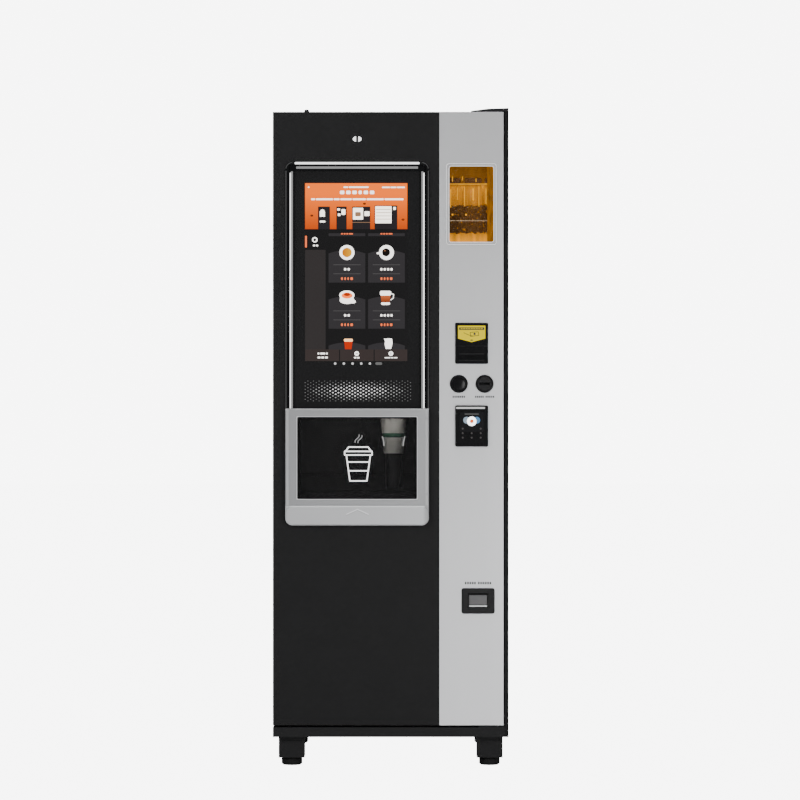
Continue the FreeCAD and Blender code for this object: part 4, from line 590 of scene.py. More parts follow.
def machines():
    """Four plain cabinets in the banner, each with a lit window."""
    bodies = [(36, 69, 65), (87, 115.5, 65), (131, 181, 65), (193, 256, 62)]
    show("cabinets", [panel_shape(a, b, top, 127.5, 1) for a, b, top in bodies], 2,
         lit("cabinet_dark", (0.024, 0.02, 0.023)))
    windows = [on_screen([(41, 93), (41, 79), (44, 74), (48, 72.5), (52, 74), (55, 79), (55, 93)]),
               *(panel_shape(*edges) for edges in (
                   (101, 112, 72, 88, 3), (89.5, 97, 70, 76, 1), (91, 98, 84, 91, 1),
                   (133, 161, 68.5, 101, 1), (165, 179, 78, 91, 2), (195, 240, 64, 111, 1),
                   (245, 252, 66, 74, 1), (41, 56, 104, 109, 2)))]
    show("cabinet_windows", windows, 3, lit("cabinet_window", (1.0, 0.93, 0.82), 3.0))
    shelves = [panel_shape(197, 238, v, v + 1.6) for v in (72, 81, 90, 99)]
    shelves += [panel_shape(131, 181, 108, 109.5), panel_shape(139, 155, 80, 92, 3)]
    show("cabinet_shelves", shelves, 4, lit("cabinet_shelf", (0.4, 0.22, 0.12)))
    beans = [disc(u, v, 4.2, 14, 0.7) for u, v in ((18.5, 90), (165, 57), (272, 101))]
    show("banner_beans", beans, 2, lit("bean_brown", (0.2, 0.035, 0.008)))


def speaker():
    """Staggered field of sound holes that shrink and fade towards an oval's edge."""
    centre_x = SCREEN_X + 2 * MM
    centre_z = low("screen_glass").z + 47.6 * MM
    pitch, rise = 15.4 * MM, 4.6 * MM
    half_w, half_h = 152 * MM, 31 * MM
    bands = {"bright": [], "mid": [], "dim": []}
    for row in range(-6, 7):
        shift = pitch / 2 if row % 2 else 0.0
        for column in range(-10, 11):
            x, z = column * pitch + shift, row * rise
            if abs(x) > half_w:
                continue
            edge = math.hypot(x / half_w * 0.92, z / half_h)
            size = 2.5 * MM * (1.0 - 0.34 * min(1.0, edge) ** 2)
            band = "bright" if edge < 0.5 else "mid" if edge < 0.78 else "dim"
            bands[band].append(ring_of(centre_x + x, centre_z + z, size, 10, 0.66))
    tones = {"bright": 1.5, "mid": 0.5, "dim": 0.12}
    for band, outlines in bands.items():
        relief("speaker_dots_" + band, outlines, GLASS_FRONT - LAYER, LAYER,
               lit("dots_" + band, (1.0, 1.0, 1.0), tones[band]), "door")


# ------------------------------------------------------------------ rings of the bezel

def side_band(name, start, end, material, proud, bottom, top):
    """Upright strips along both sides of the bezel, measured inwards from its edges."""
    bezel_low, bezel_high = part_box("screen_bezel")
    sides = ((bezel_low.x + start * MM, bezel_low.x + end * MM),
             (bezel_high.x - end * MM, bezel_high.x - start * MM))
    outlines = [rounded((a + b) / 2, (bottom + top) / 2, b - a, top - bottom, 0.8 * MM) for a, b in sides]
    relief("bezel_" + name, outlines, bezel_low.y - proud * MM, proud * MM, material, "door")


def bezel_rings():
    """Chrome lines that run round the dark frame of the screen, glowing as painted reflections."""
    bezel_low, bezel_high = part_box("screen_bezel")
    top, face = bezel_high.z, bezel_low.y
    line_end = high("hatch_frame").z + 1 * MM
    side_band("edge_line", 0.6, 2.6, "rim_reflection_dim", 0.3, bezel_low.z + 22 * MM, top - 24 * MM)
    side_band("bright_line", 12.2, 15.2, "chrome_reflection_line", 0.6, line_end, top - 30 * MM)
    side_band("rim_line", 15.2, 20.6, "rim_reflection_mid", 0.4, line_end, top - 26 * MM)
    middle_x = (bezel_low.x + bezel_high.x) / 2
    wide = bezel_high.x - bezel_low.x
    for name, down, short, tall, radius, proud, material in (
            ("top_line", 3.2, 52, 5.6, 2, 0.5, "chrome_reflection_line"), ("top_rim", 15.4, 60, 6.4, 1, 0.4, "rim_reflection_mid")):
        bar = rounded(middle_x, top - down * MM, wide - short * MM, tall * MM, radius * MM)
        relief("bezel_" + name, [bar], face - proud * MM, proud * MM, material, "door")
    corners = []
    bend, radius = 20 * MM, 18.6 * MM
    for side in (-1, 1):
        corner_x = middle_x + side * (wide / 2 - bend)
        angles = [math.radians(90 - side * (8 + 74 * k / 9)) for k in range(10)]
        arc = [(corner_x + radius * math.cos(a), top - bend + radius * math.sin(a)) for a in angles]
        corners += stroke(arc, 1.6 * MM)
    relief("bezel_corner_line", corners, face - 0.2 * MM, 0.2 * MM, "rim_reflection_dim", "door")


# ------------------------------------------------------------------ hatch

def hatch_sides():
    """Strips beside the window, painted lighter as a highlight, with the two screws of the right one."""
    hatch_low, hatch_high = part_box("hatch_frame")
    x, top = (hatch_low.x + hatch_high.x) / 2, hatch_high.z
    half = (hatch_high.x - hatch_low.x) / 2 - 1.2 * MM
    lip_high = hatch_low.z + LIP_TALL
    plate_face = hatch_low.y + 4 * MM
    middle_z, tall = (lip_high + top) / 2, top - lip_high - 4 * MM
    strips = [rounded(x + side * (half - 4.4 * MM), middle_z, 7.0 * MM, tall, 1 * MM) for side in (-1, 1)]
    relief("hatch_side_strips", strips, plate_face - 0.4 * MM, 0.4 * MM, "strip_silver_highlight", "hatch",
           0.0002)
    screws = [ring_of(x + half - 5 * MM, z, 2.6 * MM, 16) for z in (top - 26.5 * MM, lip_high + 33 * MM)]
    relief("hatch_screws", screws, plate_face - 1.0 * MM, 0.7 * MM, "screw_steel", "hatch",
           0.0002)


def bay_details():
    """Light strip at the front of the bay's ceiling, the cup's band and seam, and painted glints on the tips
    of the claws.
    """
    bay_low, bay_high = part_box("bay_liner")
    relief("bay_light", [tile((bay_low.x + bay_high.x) / 2, bay_high.z, 60, -3.4, 170, 2.4, 1)],
           bay_low.y + 5 * MM, 9 * MM, "bay_lamp", "cabinet")
    cup_low, cup_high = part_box("paper_cup")
    centre = ((cup_low.x + cup_high.x) / 2, (cup_low.y + cup_high.y) / 2)
    wide_top = (cup_high.x - cup_low.x) / 2
    taper = 9.5 * MM

    def wrap(rises, stand):
        """Profile that follows the cup's slanted wall at some heights above its base."""
        return [(wide_top - taper + taper * rise * MM / (cup_high.z - cup_low.z) + stand * MM,
                 cup_low.z + rise * MM) for rise in rises]
    sleeve("cup_band", centre, wrap((45, 51, 57), 0.15), "band")
    # Painted glints: glowing strokes on the claws' tips stand for light caught by their steel edges.
    for side, claw in ((-1, "claw_left"), (1, "claw_right")):
        tip = from_place(centre[0], cup_low.z, [(31.5 * side, 47), (29.5 * side, 40), (27.8 * side, 32),
                                                (27.2 * side, 22)])
        relief(claw + "_tip", stroke(tip, 3 * MM), low(claw).y - 0.4 * MM, 0.8 * MM, "claw_glint", claw)
    sleeve("cup_seam", centre, wrap((3, 4.2), 0.12), "paper")


def hatch():
    face = low("hatch_window").y
    centre = SCREEN_X + 3.5 * MM
    lines = []
    wide = 3.5 * MM
    hatch_sides()

    def at(points):
        return [(centre + u * MM, z * MM) for u, z in points]
    lines += stroke(at([(-33, 863), (-23.5, 794), (23.5, 794), (33, 863)]), wide)
    lines += stroke(at([(-30, 846.5), (30, 846.5)]), wide) + stroke(at([(-27, 822), (27, 822)]), wide)
    lines += stroke(at([(-38, 876), (-38, 866), (38, 866), (38, 876), (-38, 876)]), wide)
    lines += stroke(at([(-35, 877), (-27, 888), (27, 888), (35, 877)]), wide)
    relief("hatch_cup_icon", lines, face - 0.25 * MM, 0.2 * MM, "white_print", "hatch")
    steam = []
    for shift, rise, tall in ((-9.0, 2.0, 21.0), (-1.0, 1.0, 20.0)):
        wave = [(shift + 11.0 * share - 2.2 * math.sin(share * math.tau), 899 + rise + tall * share)
                for share in [k / 14 for k in range(15)]]
        steam += stroke(at(wave), 2.5 * MM)
    relief("hatch_steam_icon", steam, face - 0.25 * MM, 0.2 * MM, "gray_steam", "hatch")
    hole_low, hole_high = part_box("hatch_window")
    x, z = (hole_low.x + hole_high.x) / 2, (hole_low.z + hole_high.z) / 2
    wide, tall = hole_high.x - hole_low.x - 11 * MM, hole_high.z - hole_low.z - 11 * MM
    front = low("hatch_frame").y + 4 * MM
    outer, inner = (rounded(x, z, wide + more * MM, tall + more * MM, radius * MM)
                    for more, radius in ((3.6, 3), (0.4, 1)))
    # Painted highlight: a glowing rim round the hatch window.
    frame_ring("hatch_window_rim", outer, inner, front - 0.5 * MM, 0.5 * MM, "window_rim_highlight", "hatch",
               0.0002)


# ------------------------------------------------------------------ payment column

def letters(x, z, groups, tall):
    """Centred row of plain upright blocks in groups, where words would stand."""
    wide, gap, space = tall * 0.62, tall * 0.3, tall * 0.9
    total = sum(groups) * wide + (sum(groups) - len(groups)) * gap + (len(groups) - 1) * space
    at = x - total / 2
    shapes = []
    for count in groups:
        for _ in range(count):
            shapes.append(rounded(at + wide / 2, z, wide, tall, wide * 0.3))
            at += wide + gap
        at += space - gap
    return shapes


def device_plate(name, outlines, face, proud, thick, material, bevel=None):
    """Plate on the black face of a payment device, its front some millimetres proud."""
    relief(name, outlines, face - proud * MM, thick * MM, material, "door", bevel)


def bill_marks():
    """Pointed label with a drawn note, and the ridges of the note slot."""
    bill_low, bill_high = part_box("bill_validator")
    x, top, face = (bill_low.x + bill_high.x) / 2, bill_high.z, bill_low.y
    pointed = from_place(x, top, [(-38, -8), (-38, -44), (0, -54), (38, -44), (38, -8)])
    device_plate("bill_label", [pointed], face, 0.4, 0.4, "yellow")
    marks = [tile(x, top, 0, -16.5, 70, 7, 1)]
    marks += stroke(from_place(x, top, [(-22, -28), (-8, -34), (4, -37)]), 1.4 * MM)
    marks += stroke(from_place(x, top, [(-4, -27), (18, -25), (20, -35), (-3, -38), (-4, -27)]), 1.6 * MM)
    marks.append(ring_of(x + 8 * MM, top - 31 * MM, 3.2 * MM, 18))
    marks.append(ring_of(x, top - 48.5 * MM, 4.5 * MM, 18, 0.35))
    device_plate("bill_label_marks", marks, face, 0.6, 0.2, "label_dark")
    blocks = [tile(x, top, (k - 4) * 7, -16.5, 5, 2, 0.6) for k in range(9)]
    device_plate("bill_label_blocks", blocks, face, 0.8, 0.2, "yellow")
    ridges = [tile(x, top, 0, -64.5, 88, 1.2, 0.4), tile(x, bill_low.z, 0, 27.5, 70, 2.6, 1),
              tile(x, bill_low.z, 0, 9, 70, 2.2, 1)]
    device_plate("bill_ridges", ridges, face, 0.9, 1.0, "plastic", 0.0002)


def button_and_slot():
    """Rings round the change button and the coin slot, the button's crown and the slot's lips."""
    x, z = middle("change_button").x, middle("change_button").z
    coin_x = low("coin_slot").x + 25 * MM
    bezel = middle("button_bezel")
    for key, node, ring_x in (("change", "button_bezel", bezel.x), ("coin", "coin_slot", coin_x)):
        outer, inner = (ring_of(ring_x, bezel.z, radius * MM, 48) for radius in (22.6, 19.4))
        frame_ring(key + "_ring", outer, inner, low(node).y - 0.8 * MM, 1.0 * MM, "gloss", "door",
                   0.0004)
    builder = bmesh.new()
    rings = []
    for share in (1.0, 0.9, 0.7, 0.4):
        depth = low("change_button").y - 0.1 * MM - 1.1 * MM * (1 - share ** 2)
        rings.append([builder.verts.new((px, depth, pz)) for px, pz in ring_of(x, z, 17 * MM * share, 40)])
    stitch(builder, rings)
    builder.faces.new(rings[-1])
    finish_piece("button_crown", builder, "gloss", "change_button", smooth=True)
    lips = [tile(coin_x, z, 0, side * 3.1, 34, 1.4, 0.6) for side in (-1, 1)]
    relief("coin_slot_lips", lips, low("coin_slot").y - 0.7 * MM, 0.8 * MM, "gloss", "door",
           0.0002)
    plain = letters(x, z - 36 * MM, (7,), 5.6 * MM) + letters(coin_x, z - 36 * MM, (5, 5), 5.6 * MM)
    plain += letters(middle("coin_return_frame").x, high("coin_return_frame").z + 14 * MM, (5, 6), 7.0 * MM)
    relief("plain_labels", plain, low("side_skin").y - 0.12 * MM, 0.12 * MM, "label_dark", "door")


def card_reader():
    """Light bar, small screen with three discs, title line and keys."""
    reader_low, reader_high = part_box("card_reader")
    x, top, face = (reader_low.x + reader_high.x) / 2, reader_high.z, reader_low.y

    def lamp(name, outline, proud, thick, glow, color, strength=1.0):
        device_plate("reader_" + name, [outline], face, proud, thick, lit("reader_" + glow, color, strength))
    lamp("light_bar", tile(x, top, -3, -7, 80, 5, 2), 0.5, 0.5, "light", (0.8, 0.8, 0.8))
    lamp("screen", tile(x, top, 0, -46, 66, 54, 3), 0.3, 0.3, "glass", (0.010, 0.010, 0.011))
    for side, across, color in (("left", -14, (0.35, 0.45, 0.55)), ("right", 14, (0.12, 0.3, 0.55))):
        lamp("circle_" + side, ring_of(x + across * MM, top - 41 * MM, 9.5 * MM), 0.5, 0.2, side, color)
    lamp("circle_middle", ring_of(x, top - 44 * MM, 13 * MM), 0.7, 0.2, "white", (1.0, 1.0, 1.0), 4.0)
    lamp("spot", ring_of(x, top - 44 * MM, 5.2 * MM), 0.9, 0.2, "orange", (1.2, 0.2, 0.05))
    lamp("title", tile(x, top, 0, -24, 40, 3.4, 1.5), 0.5, 0.2, "title_gray", (0.1, 0.1, 0.1))
    keys = [ring_of(x + column * 25 * MM, top - (64.5 + 12.5 * row) * MM, 3.0 * MM, 6 if row else 12)
            for row in range(3) for column in (-1, 0, 1) if row or column]
    device_plate("reader_keys", keys, face, 0.5, 0.2, lit("key_gray", (0.07, 0.065, 0.065)))


def coin_return():
    """Steel strip and dark face of the return flap."""
    flap_low, flap_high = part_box("coin_return_flap")
    x = (flap_low.x + flap_high.x) / 2
    relief("flap_strip", [tile(x, flap_low.z, 0, 4, 50, 4, 1)], flap_low.y - 0.6 * MM, 2.0 * MM,
           "steel", "coin_flap", 0.0003)
    relief("flap_face", [tile(x, flap_low.z, 0, 21, 50, 27, 2)], flap_low.y - 0.5 * MM, 2.2 * MM,
           "flap_gray", "coin_flap", 0.0006)


# ------------------------------------------------------------------ beans behind the window

def bean_mesh(builder, spot, size, turn):
    """One roasted bean: an egg flattened on one side with a crease along it."""
    length, width = size
    rows, columns = 7, 8
    rings = []
    for r in range(1, rows):
        lat = math.pi * r / rows
        ring = []
        for c in range(columns):
            lon = math.tau * c / columns
            y = math.sin(lat) * math.cos(lon) * width
            z = math.sin(lat) * math.sin(lon) * width * 0.72
            if z > 0:
                z *= 0.45 if abs(y) > width * 0.25 else 0.12
            point = Vector((math.cos(lat) * length, y, z))
            ring.append(builder.verts.new(turn @ point + spot))
        rings.append(ring)
    ends = [builder.verts.new(turn @ Vector((s * length, 0, 0)) + spot) for s in (1, -1)]
    stitch(builder, rings)
    for end, ring in ((ends[0], rings[0]), (ends[1], rings[-1])):
        for c in range(columns):
            builder.faces.new((end, ring[c], ring[(c + 1) % columns]))


def hopper_glow():
    """Glowing panel painted with the warm light and shade seen through the amber hopper: painted shade at the
    top, painted light on the jars, dark heaps, and a painted pool of light on the floor.
    """
    material = lit("hopper_glow", (1.0, 0.36, 0.002), shade=0.9, mottle=75.0, stretch=(1, 1, 0.1))
    do = node_maths(material)
    z = position(material)[2]
    base, top = low("window_trim").z, high("window_trim").z
    # Painted pool of light on the floor, painted light at the jars, painted shade under the lids.
    floor_light = ramp(do, z, base + 0.02, base + 0.05, 1.5, 0.55)
    jar_light = ramp(do, z, base + 0.1, base + 0.16, 0.0, 0.75)
    lid_shade = ramp(do, z, top - 0.056, top - 0.046, 0.0, -1.12)
    gain = do("MAXIMUM", do("ADD", do("ADD", floor_light, jar_light), lid_shade), 0.1)
    shader = material.node_tree.nodes["Principled BSDF"]
    material.node_tree.links.new(gain, shader.inputs["Emission Strength"])
    return material


def window_sides():
    """Painted highlights: glowing lines along the edges of the window's trim. Painted light: a glowing amber
    lining between the pane and the hopper, standing for the warm-lit side of the niche.
    """
    trim_low, trim_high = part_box("window_trim")
    x, z = (trim_low.x + trim_high.x) / 2, (trim_low.z + trim_high.z) / 2
    wide, tall = trim_high.x - trim_low.x, trim_high.z - trim_low.z
    for name, insets in (("outer", (0.6, 2.6)), ("inner", (13.4, 15.8))):
        outer, inner = (rounded(x, z, wide - inset * MM, tall - inset * MM, radius * MM)
                        for inset, radius in zip(insets, (7, 6)))
        frame_ring("trim_highlight_line_" + name, outer, inner, trim_low.y - 0.4 * MM, 0.4 * MM, "trim_highlight_line", "door")
    lining = lit("window_lining_painted_light", (0.3, 0.11, 0.006), shade=0.95, mottle=160.0, stretch=(1, 1, 0.25))
    edge = trim_high.x - 8 * MM
    relief("window_lining_painted_light", [rounded(edge - 7 * MM, z, 18 * MM, tall - 6 * MM, 1 * MM)], DOOR_FRONT + 56 * MM,
           1.2 * MM, lining, "door")


def beans(inside_low, inside_high):
    """Two heaps of roasted beans in the hopper."""
    builder = bmesh.new()
    x_span = inside_high.x - inside_low.x
    rows, columns, row_step, layer_step, stray = 4, 13, 10 * MM, 8.5 * MM, 3
    heaps = ((low("window_trim").z + 43 * MM, 4), (low("window_trim").z + 76 * MM, 5))
    for floor_z, layers in heaps:
        for layer in range(layers):
            for row in range(rows):
                for column in range(columns):
                    share = (column + rng.uniform(0.1, 0.9)) / columns
                    spot = Vector((inside_low.x + 5 * MM + (x_span - 10 * MM) * share,
                                   inside_low.y + 7 * MM + row * row_step + rng.uniform(-stray, stray) * MM,
                                   floor_z + layer * layer_step + rng.uniform(-stray, stray) * MM))
                    turn = (Matrix.Rotation(rng.uniform(0, math.tau), 3, "Z")
                            @ Matrix.Rotation(rng.uniform(-1.2, 1.2), 3, "Y")
                            @ Matrix.Rotation(rng.uniform(0, math.tau), 3, "X"))
                    bean_mesh(builder, spot, (rng.uniform(5.8, 7.0) * MM, rng.uniform(4.2, 5.0) * MM), turn)
    finish_piece("coffee_beans", builder, "bean", "cabinet", smooth=True)


def jars(x, y, bottom, top):
    """Three amber jars with necks, side by side in one piece."""
    builder = bmesh.new()
    profile = ((bottom, 0.92), (bottom + 10 * MM, 1.0), (top - 20 * MM, 1.0), (top - 8 * MM, 0.9),
               (top, 0.72))
    for across, radius in ((-52, 30), (6, 31), (56, 24)):
        wall = [(radius * MM * share, z) for z, share in profile]
        rings = turned_rings(builder, (x + across * MM, y), wall, 28)
        stitch(builder, rings)
        builder.faces.new(rings[0])
        builder.faces.new(rings[-1])
    finish_piece("amber_jars", builder, "jar", "cabinet", smooth=True)


# Painted highlights on the jars, as bright streaks: across, width, base and height in millimetres.
STREAKS = ((-57, 2.5, 108, 52), (-38, 1.6, 130, 34), (-18, 2, 112, 56), (6, 3.5, 128, 34), (22, 1.6, 110, 58),
           (42, 2.5, 118, 44), (63, 2, 108, 60), (-52, 2.2, 180, 16), (-24, 2, 184, 12), (14, 2.4, 180, 10),
           (58, 2.2, 180, 18))


def bean_window():
    """Everything that shows through the pane: beans, a glowing panel of painted light and shade, jars with
    painted highlight streaks, two painted glints among the beans, and the jars' lids.
    """
    hopper_low, hopper_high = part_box("bean_hopper")
    inside_low = hopper_low + Vector((5, 5, 5)) * MM
    inside_high = Vector((hopper_high.x - 5 * MM, hopper_high.y - 22 * MM, hopper_high.z - 6 * MM))
    x_span = inside_high.x - inside_low.x
    x = (inside_low.x + inside_high.x) / 2
    base, front = low("window_trim").z, hopper_low.y

    def inner(name, outlines, depth, thick, material, bevel=None):
        relief(name, outlines, front + depth * MM, thick * MM, material, "cabinet", bevel)
    beans(inside_low, inside_high)
    panel = rounded(x, (inside_low.z + inside_high.z) / 2, x_span + 3 * MM,
                    inside_high.z - inside_low.z - 4 * MM, 2 * MM)
    inner("hopper_painted_light_panel", [panel], 82, 2, hopper_glow())
    jar_top = base + 173 * MM
    jars(x, front + 38 * MM, base + 100 * MM, jar_top)
    streaks = [tile(x, base, across, foot + tall / 2, wide, tall, 1) for across, wide, foot, tall in STREAKS]
    streaks.append(tile(x, base, 0, 174, 128, 2.2, 1))
    inner("hopper_highlight_streaks", streaks, 4, 0.5, "amber_highlight")
    # Painted glints: two small glowing discs among the beans.
    inner("hopper_bean_glints", [ring_of(x + across * MM, base + 88 * MM, 2.6 * MM, 16) for across in (-52, -14)],
          -0.6, 0.5, "amber_highlight")
    inner("hopper_ledge", [rounded(x, base + 71 * MM, x_span + 6 * MM, 2 * MM, 1 * MM)], -0.6, 0.6, "ledge")
    caps = [tile(x, jar_top, across, 11, wide, 16, 5) for across, wide in ((-52, 46), (6, 48), (56, 36))]
    inner("jar_lids", caps, 8, 24, "lid_brown", 0.002)


# ------------------------------------------------------------------ door mark and antenna

def door_mark():
    """Plain coffee-bean sign near the door's top."""
    x, z, face = SCREEN_X, high("door_shell").z - 0.0755, DOOR_FRONT
    left = [(x - 0.0012 + 0.011 * math.cos(a), z + 0.0075 * math.sin(a)) for a in
            [math.radians(100 + 160 * k / 14) for k in range(15)]]
    right = [(2 * x - px, pz) for px, pz in left]
    relief("door_mark", [left, right], face - 0.3 * MM, 0.3 * MM, "white_print", "door")


def antenna():
    """Low dome of black plastic screwed to the top of the door."""
    x, y, top = -0.234, DOOR_FRONT + 0.03, high("door_shell").z
    radius, base = 6.8, 5
    profile = [(9, 0), (9, 1.2), (7, 1.6), (radius, base)]
    profile += [(radius * math.cos(math.radians(15 * k)), base + 4.4 * math.sin(math.radians(15 * k)))
                for k in range(1, 6)]
    lathe("antenna_dome", (x, y), [(r * MM, top + h * MM) for r, h in profile], "plastic", "door",
          28, smooth=True)


# ------------------------------------------------------------------ inside and back of the machine

def pipe(name, points, radius, material, body):
    """Hose or wire that follows a bent path."""
    curve = bpy.data.curves.new(name, "CURVE")
    curve.dimensions = "3D"
    curve.bevel_depth = radius
    curve.bevel_resolution = 3
    curve.use_fill_caps = True
    path = curve.splines.new("NURBS")
    path.points.add(len(points) - 1)
    for spot, (x, y, z) in zip(path.points, points):
        spot.co = (x, y, z, 1.0)
    path.order_u = 3
    path.use_endpoint_u = True
    path.resolution_u = 6
    shape = bpy.data.objects.new(name + "_path", curve)
    bpy.context.scene.collection.objects.link(shape)
    mesh = bpy.data.meshes.new_from_object(shape.evaluated_get(bpy.context.evaluated_depsgraph_get()))
    bpy.data.objects.remove(shape)
    thing = bpy.data.objects.new(name, mesh)
    bpy.context.scene.collection.objects.link(thing)
    mesh.materials.clear()
    mesh.materials.append(MAT[material])
    mesh.shade_smooth()
    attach(thing, body)


def cup_stacks():
    """Nested cups in the four tubes of the turret: a rim shows every few millimetres."""
    turret_low, turret_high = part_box("cup_turret")
    axis_x, axis_y = (turret_low.x + turret_high.x) / 2, (turret_low.y + turret_high.y) / 2
    tube_ring, wall, rim = 88 * MM, 34.5 * MM, 36.5 * MM
    profile = [(27 * MM, turret_low.z + 30 * MM)]
    z = turret_low.z + 120 * MM
    while z < turret_high.z - 50 * MM:
        profile += [(wall, z), (rim, z + 1 * MM), (rim, z + 4 * MM), (wall, z + 5 * MM)]
        z += 11 * MM
    for number in range(4):
        angle = math.pi / 2 * number
        centre = (axis_x + tube_ring * math.cos(angle), axis_y + tube_ring * math.sin(angle))
        lathe(f"cup_stack_{number + 1}", centre, profile, "paper", "cup_turret", 28)


def hoses():
    """Water and drink hoses between the boiler, the brewer and the nozzle, and the boiler's two bands."""
    boiler_mid, boiler_top = middle("boiler"), high("boiler").z
    nozzle, nozzle_top = middle("dispense_nozzle"), high("dispense_nozzle").z
    brewer, turret = low("brewer_body"), low("cup_turret")
    bowl_x, bowl = middle("mixing_bowl").x, low("mixing_bowl")
    around_y, level = turret.y - 24 * MM, turret.z + 18 * MM
    nozzle_mouth = (nozzle.x - 5 * MM, nozzle.y, nozzle_top - 2 * MM)
    brew = [(brewer.x - 1 * MM, brewer.y + 20 * MM, brewer.z + 30 * MM),
            (brewer.x - 20 * MM, around_y + 30 * MM, level + 30 * MM),
            (brewer.x - 60 * MM, around_y, level),
            (nozzle.x + 90 * MM, around_y, level), (nozzle.x - 4 * MM, around_y + 10 * MM, level),
            (nozzle.x - 6 * MM, nozzle.y - 8 * MM, level),
            (nozzle.x - 5 * MM, nozzle.y - 5 * MM, nozzle_top - 2 * MM)]
    mix = [(bowl_x, bowl.y + 4 * MM, bowl.z + 20 * MM), (bowl_x, bowl.y + 4 * MM, bowl.z - 80 * MM),
           (nozzle.x - 30 * MM, nozzle.y, nozzle_top + 120 * MM), nozzle_mouth]
    hot_water = [(boiler_mid.x + across * MM, boiler_mid.y + back * MM, boiler_top + up * MM)
                 for across, back, up in ((20, 0, -4), (30, 0, 50), (100, -20, 30), (120, -20, -200))]
    for name, path, radius in (("brew_hose", brew, 5), ("mix_hose", mix, 5),
                               ("hot_water_hose", hot_water, 4)):
        pipe(name, path, radius * MM, "hose", "cabinet")
    inner = (high("boiler").x - low("boiler").x) / 2 - 1 * MM
    outer = inner + 2.2 * MM
    for number, up in enumerate((-60, 60)):
        bottom, top = (boiler_mid.z + (up + half) * MM for half in (-6, 6))
        lathe(f"boiler_band_{number + 1}", (boiler_mid.x, boiler_mid.y),
              [(inner, bottom), (outer, bottom), (outer, top), (inner, top)],
              "band_steel", "cabinet", 40)


def rear_details():
    """Louvre lips above the rear slots and a rating frame left blank beside the inlet."""
    rear = high("rear_panel").y - 0.2 * MM
    first_lip, lip_pitch, lip_count = 1425.4, 14, 10
    lips = [tile(0, 0, 0, first_lip + lip_pitch * step, 226, 2.2, 1) for step in range(lip_count)]
    relief("vent_lips", lips, rear, 1.4 * MM, "galvanised", "cabinet")
    inlet = middle("mains_inlet")
    plate = tile(inlet.x, inlet.z, -90, 0, 70, 45, 3)
    relief("blank_plate", [plate], rear, 0.8 * MM, "steel", "cabinet", 0.0002)


# ------------------------------------------------------------------ studio

BACKDROP_LIGHT = 7.5


def studio():
    """Pale floor, and a sky that lights the machine softly and looks white to the camera."""
    mesh = bpy.data.meshes.new("floor")
    mesh.from_pydata([(-30, -30, 0), (30, -30, 0), (30, 30, 0), (-30, 30, 0)], [], [(0, 1, 2, 3)])
    floor = bpy.data.objects.new("floor", mesh)
    bpy.context.scene.collection.objects.link(floor)
    pale = surface("floor_pale", (0.93, 0.93, 0.93), grain=30, bump=0.0, rough=0.9, shade=0.01,
                   specular=0.1)
    mesh.materials.append(pale)
    brighten_floor(pale)
    world = bpy.data.worlds.new("studio")
    bpy.context.scene.world = world
    world.use_nodes = True
    nodes, links = world.node_tree.nodes, world.node_tree.links
    seen, lighting = nodes["Background"], nodes.new("ShaderNodeBackground")
    seen.inputs["Color"].default_value = (1, 1, 1, 1)
    seen.inputs["Strength"].default_value = BACKDROP_LIGHT
    place = nodes.new("ShaderNodeTexCoord")
    split = nodes.new("ShaderNodeSeparateXYZ")
    links.new(place.outputs["Generated"], split.inputs["Vector"])
    sky = nodes.new("ShaderNodeValToRGB")
    sky.color_ramp.elements[0].position = 0.35
    sky.color_ramp.elements[0].color = (0.5, 0.5, 0.5, 1)
    sky.color_ramp.elements[1].position = 1.0
    sky.color_ramp.elements[1].color = (1, 1, 1, 1)
    links.new(split.outputs["Z"], sky.inputs["Fac"])
    links.new(sky.outputs["Color"], lighting.inputs["Color"])
    lighting.inputs["Strength"].default_value = 0.55
    path = nodes.new("ShaderNodeLightPath")
    mix = nodes.new("ShaderNodeMixShader")
    links.new(path.outputs["Is Camera Ray"], mix.inputs["Fac"])
    links.new(lighting.outputs["Background"], mix.inputs[1])
    links.new(seen.outputs["Background"], mix.inputs[2])
    links.new(mix.outputs["Shader"], nodes["World Output"].inputs["Surface"])


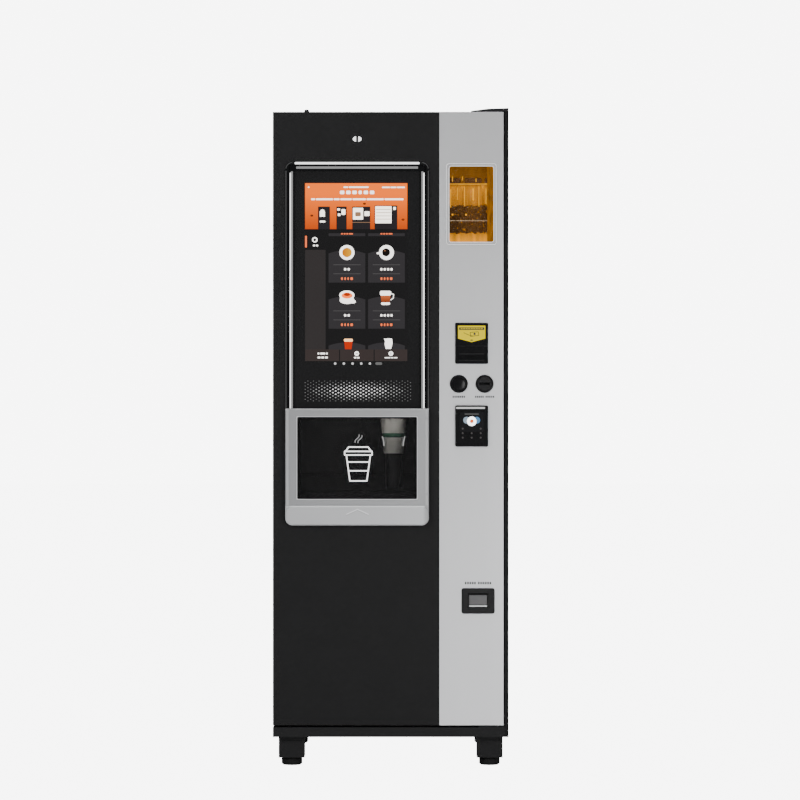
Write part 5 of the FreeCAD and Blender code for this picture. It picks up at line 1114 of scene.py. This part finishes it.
def brighten_floor(pale):
    """White to the eye without lighting the machine from below."""
    nodes, links = pale.node_tree.nodes, pale.node_tree.links
    shader, end = nodes["Principled BSDF"], nodes["Material Output"]
    glow = nodes.new("ShaderNodeEmission")
    glow.inputs["Strength"].default_value = BACKDROP_LIGHT
    path = nodes.new("ShaderNodeLightPath")
    share = nodes.new("ShaderNodeMath")
    share.operation = "MULTIPLY"
    share.inputs[1].default_value = 0.97
    links.new(path.outputs["Is Camera Ray"], share.inputs[0])
    mix = nodes.new("ShaderNodeMixShader")
    links.new(share.outputs["Value"], mix.inputs["Fac"])
    links.new(shader.outputs["BSDF"], mix.inputs[1])
    links.new(glow.outputs["Emission"], mix.inputs[2])
    links.new(mix.outputs["Shader"], end.inputs["Surface"])


def softbox(name, spot, aim, size, power):
    light = bpy.data.lights.new(name, "AREA")
    light.shape = "RECTANGLE"
    light.size, light.size_y = size
    light.energy = power
    lamp = bpy.data.objects.new(name, light)
    bpy.context.scene.collection.objects.link(lamp)
    lamp.location = spot
    lamp.rotation_mode = "QUATERNION"
    lamp.rotation_quaternion = (Vector(aim) - Vector(spot)).to_track_quat("-Z", "Y")


def camera():
    lens = bpy.data.cameras.new("camera")
    lens.lens = 145.8
    lens.clip_end = 60.0
    lens.sensor_width = 36.0
    eye = bpy.data.objects.new("camera", lens)
    bpy.context.scene.collection.objects.link(eye)
    eye.location = (0.026, DOOR_FRONT - 9.0, 1.0185)
    eye.rotation_euler = (math.radians(90), 0, 0)
    bpy.context.scene.camera = eye


for build in (touch_screen, speaker, bezel_rings, window_sides, bay_details, hatch, bill_marks,
              button_and_slot, card_reader, coin_return, bean_window, door_mark, antenna, cup_stacks,
              hoses, rear_details):
    build()
studio()
softbox("key_front", (-2.2, -4.2, 2.6), (0, 0, 1.0), (2.4, 2.4), 130)
softbox("low_front", (1.8, -4.0, 0.7), (0, 0, 0.6), (2.0, 1.6), 90)
softbox("top", (0, -0.6, 4.2), (0, 0, 1), (3.0, 2.0), 90)
camera()
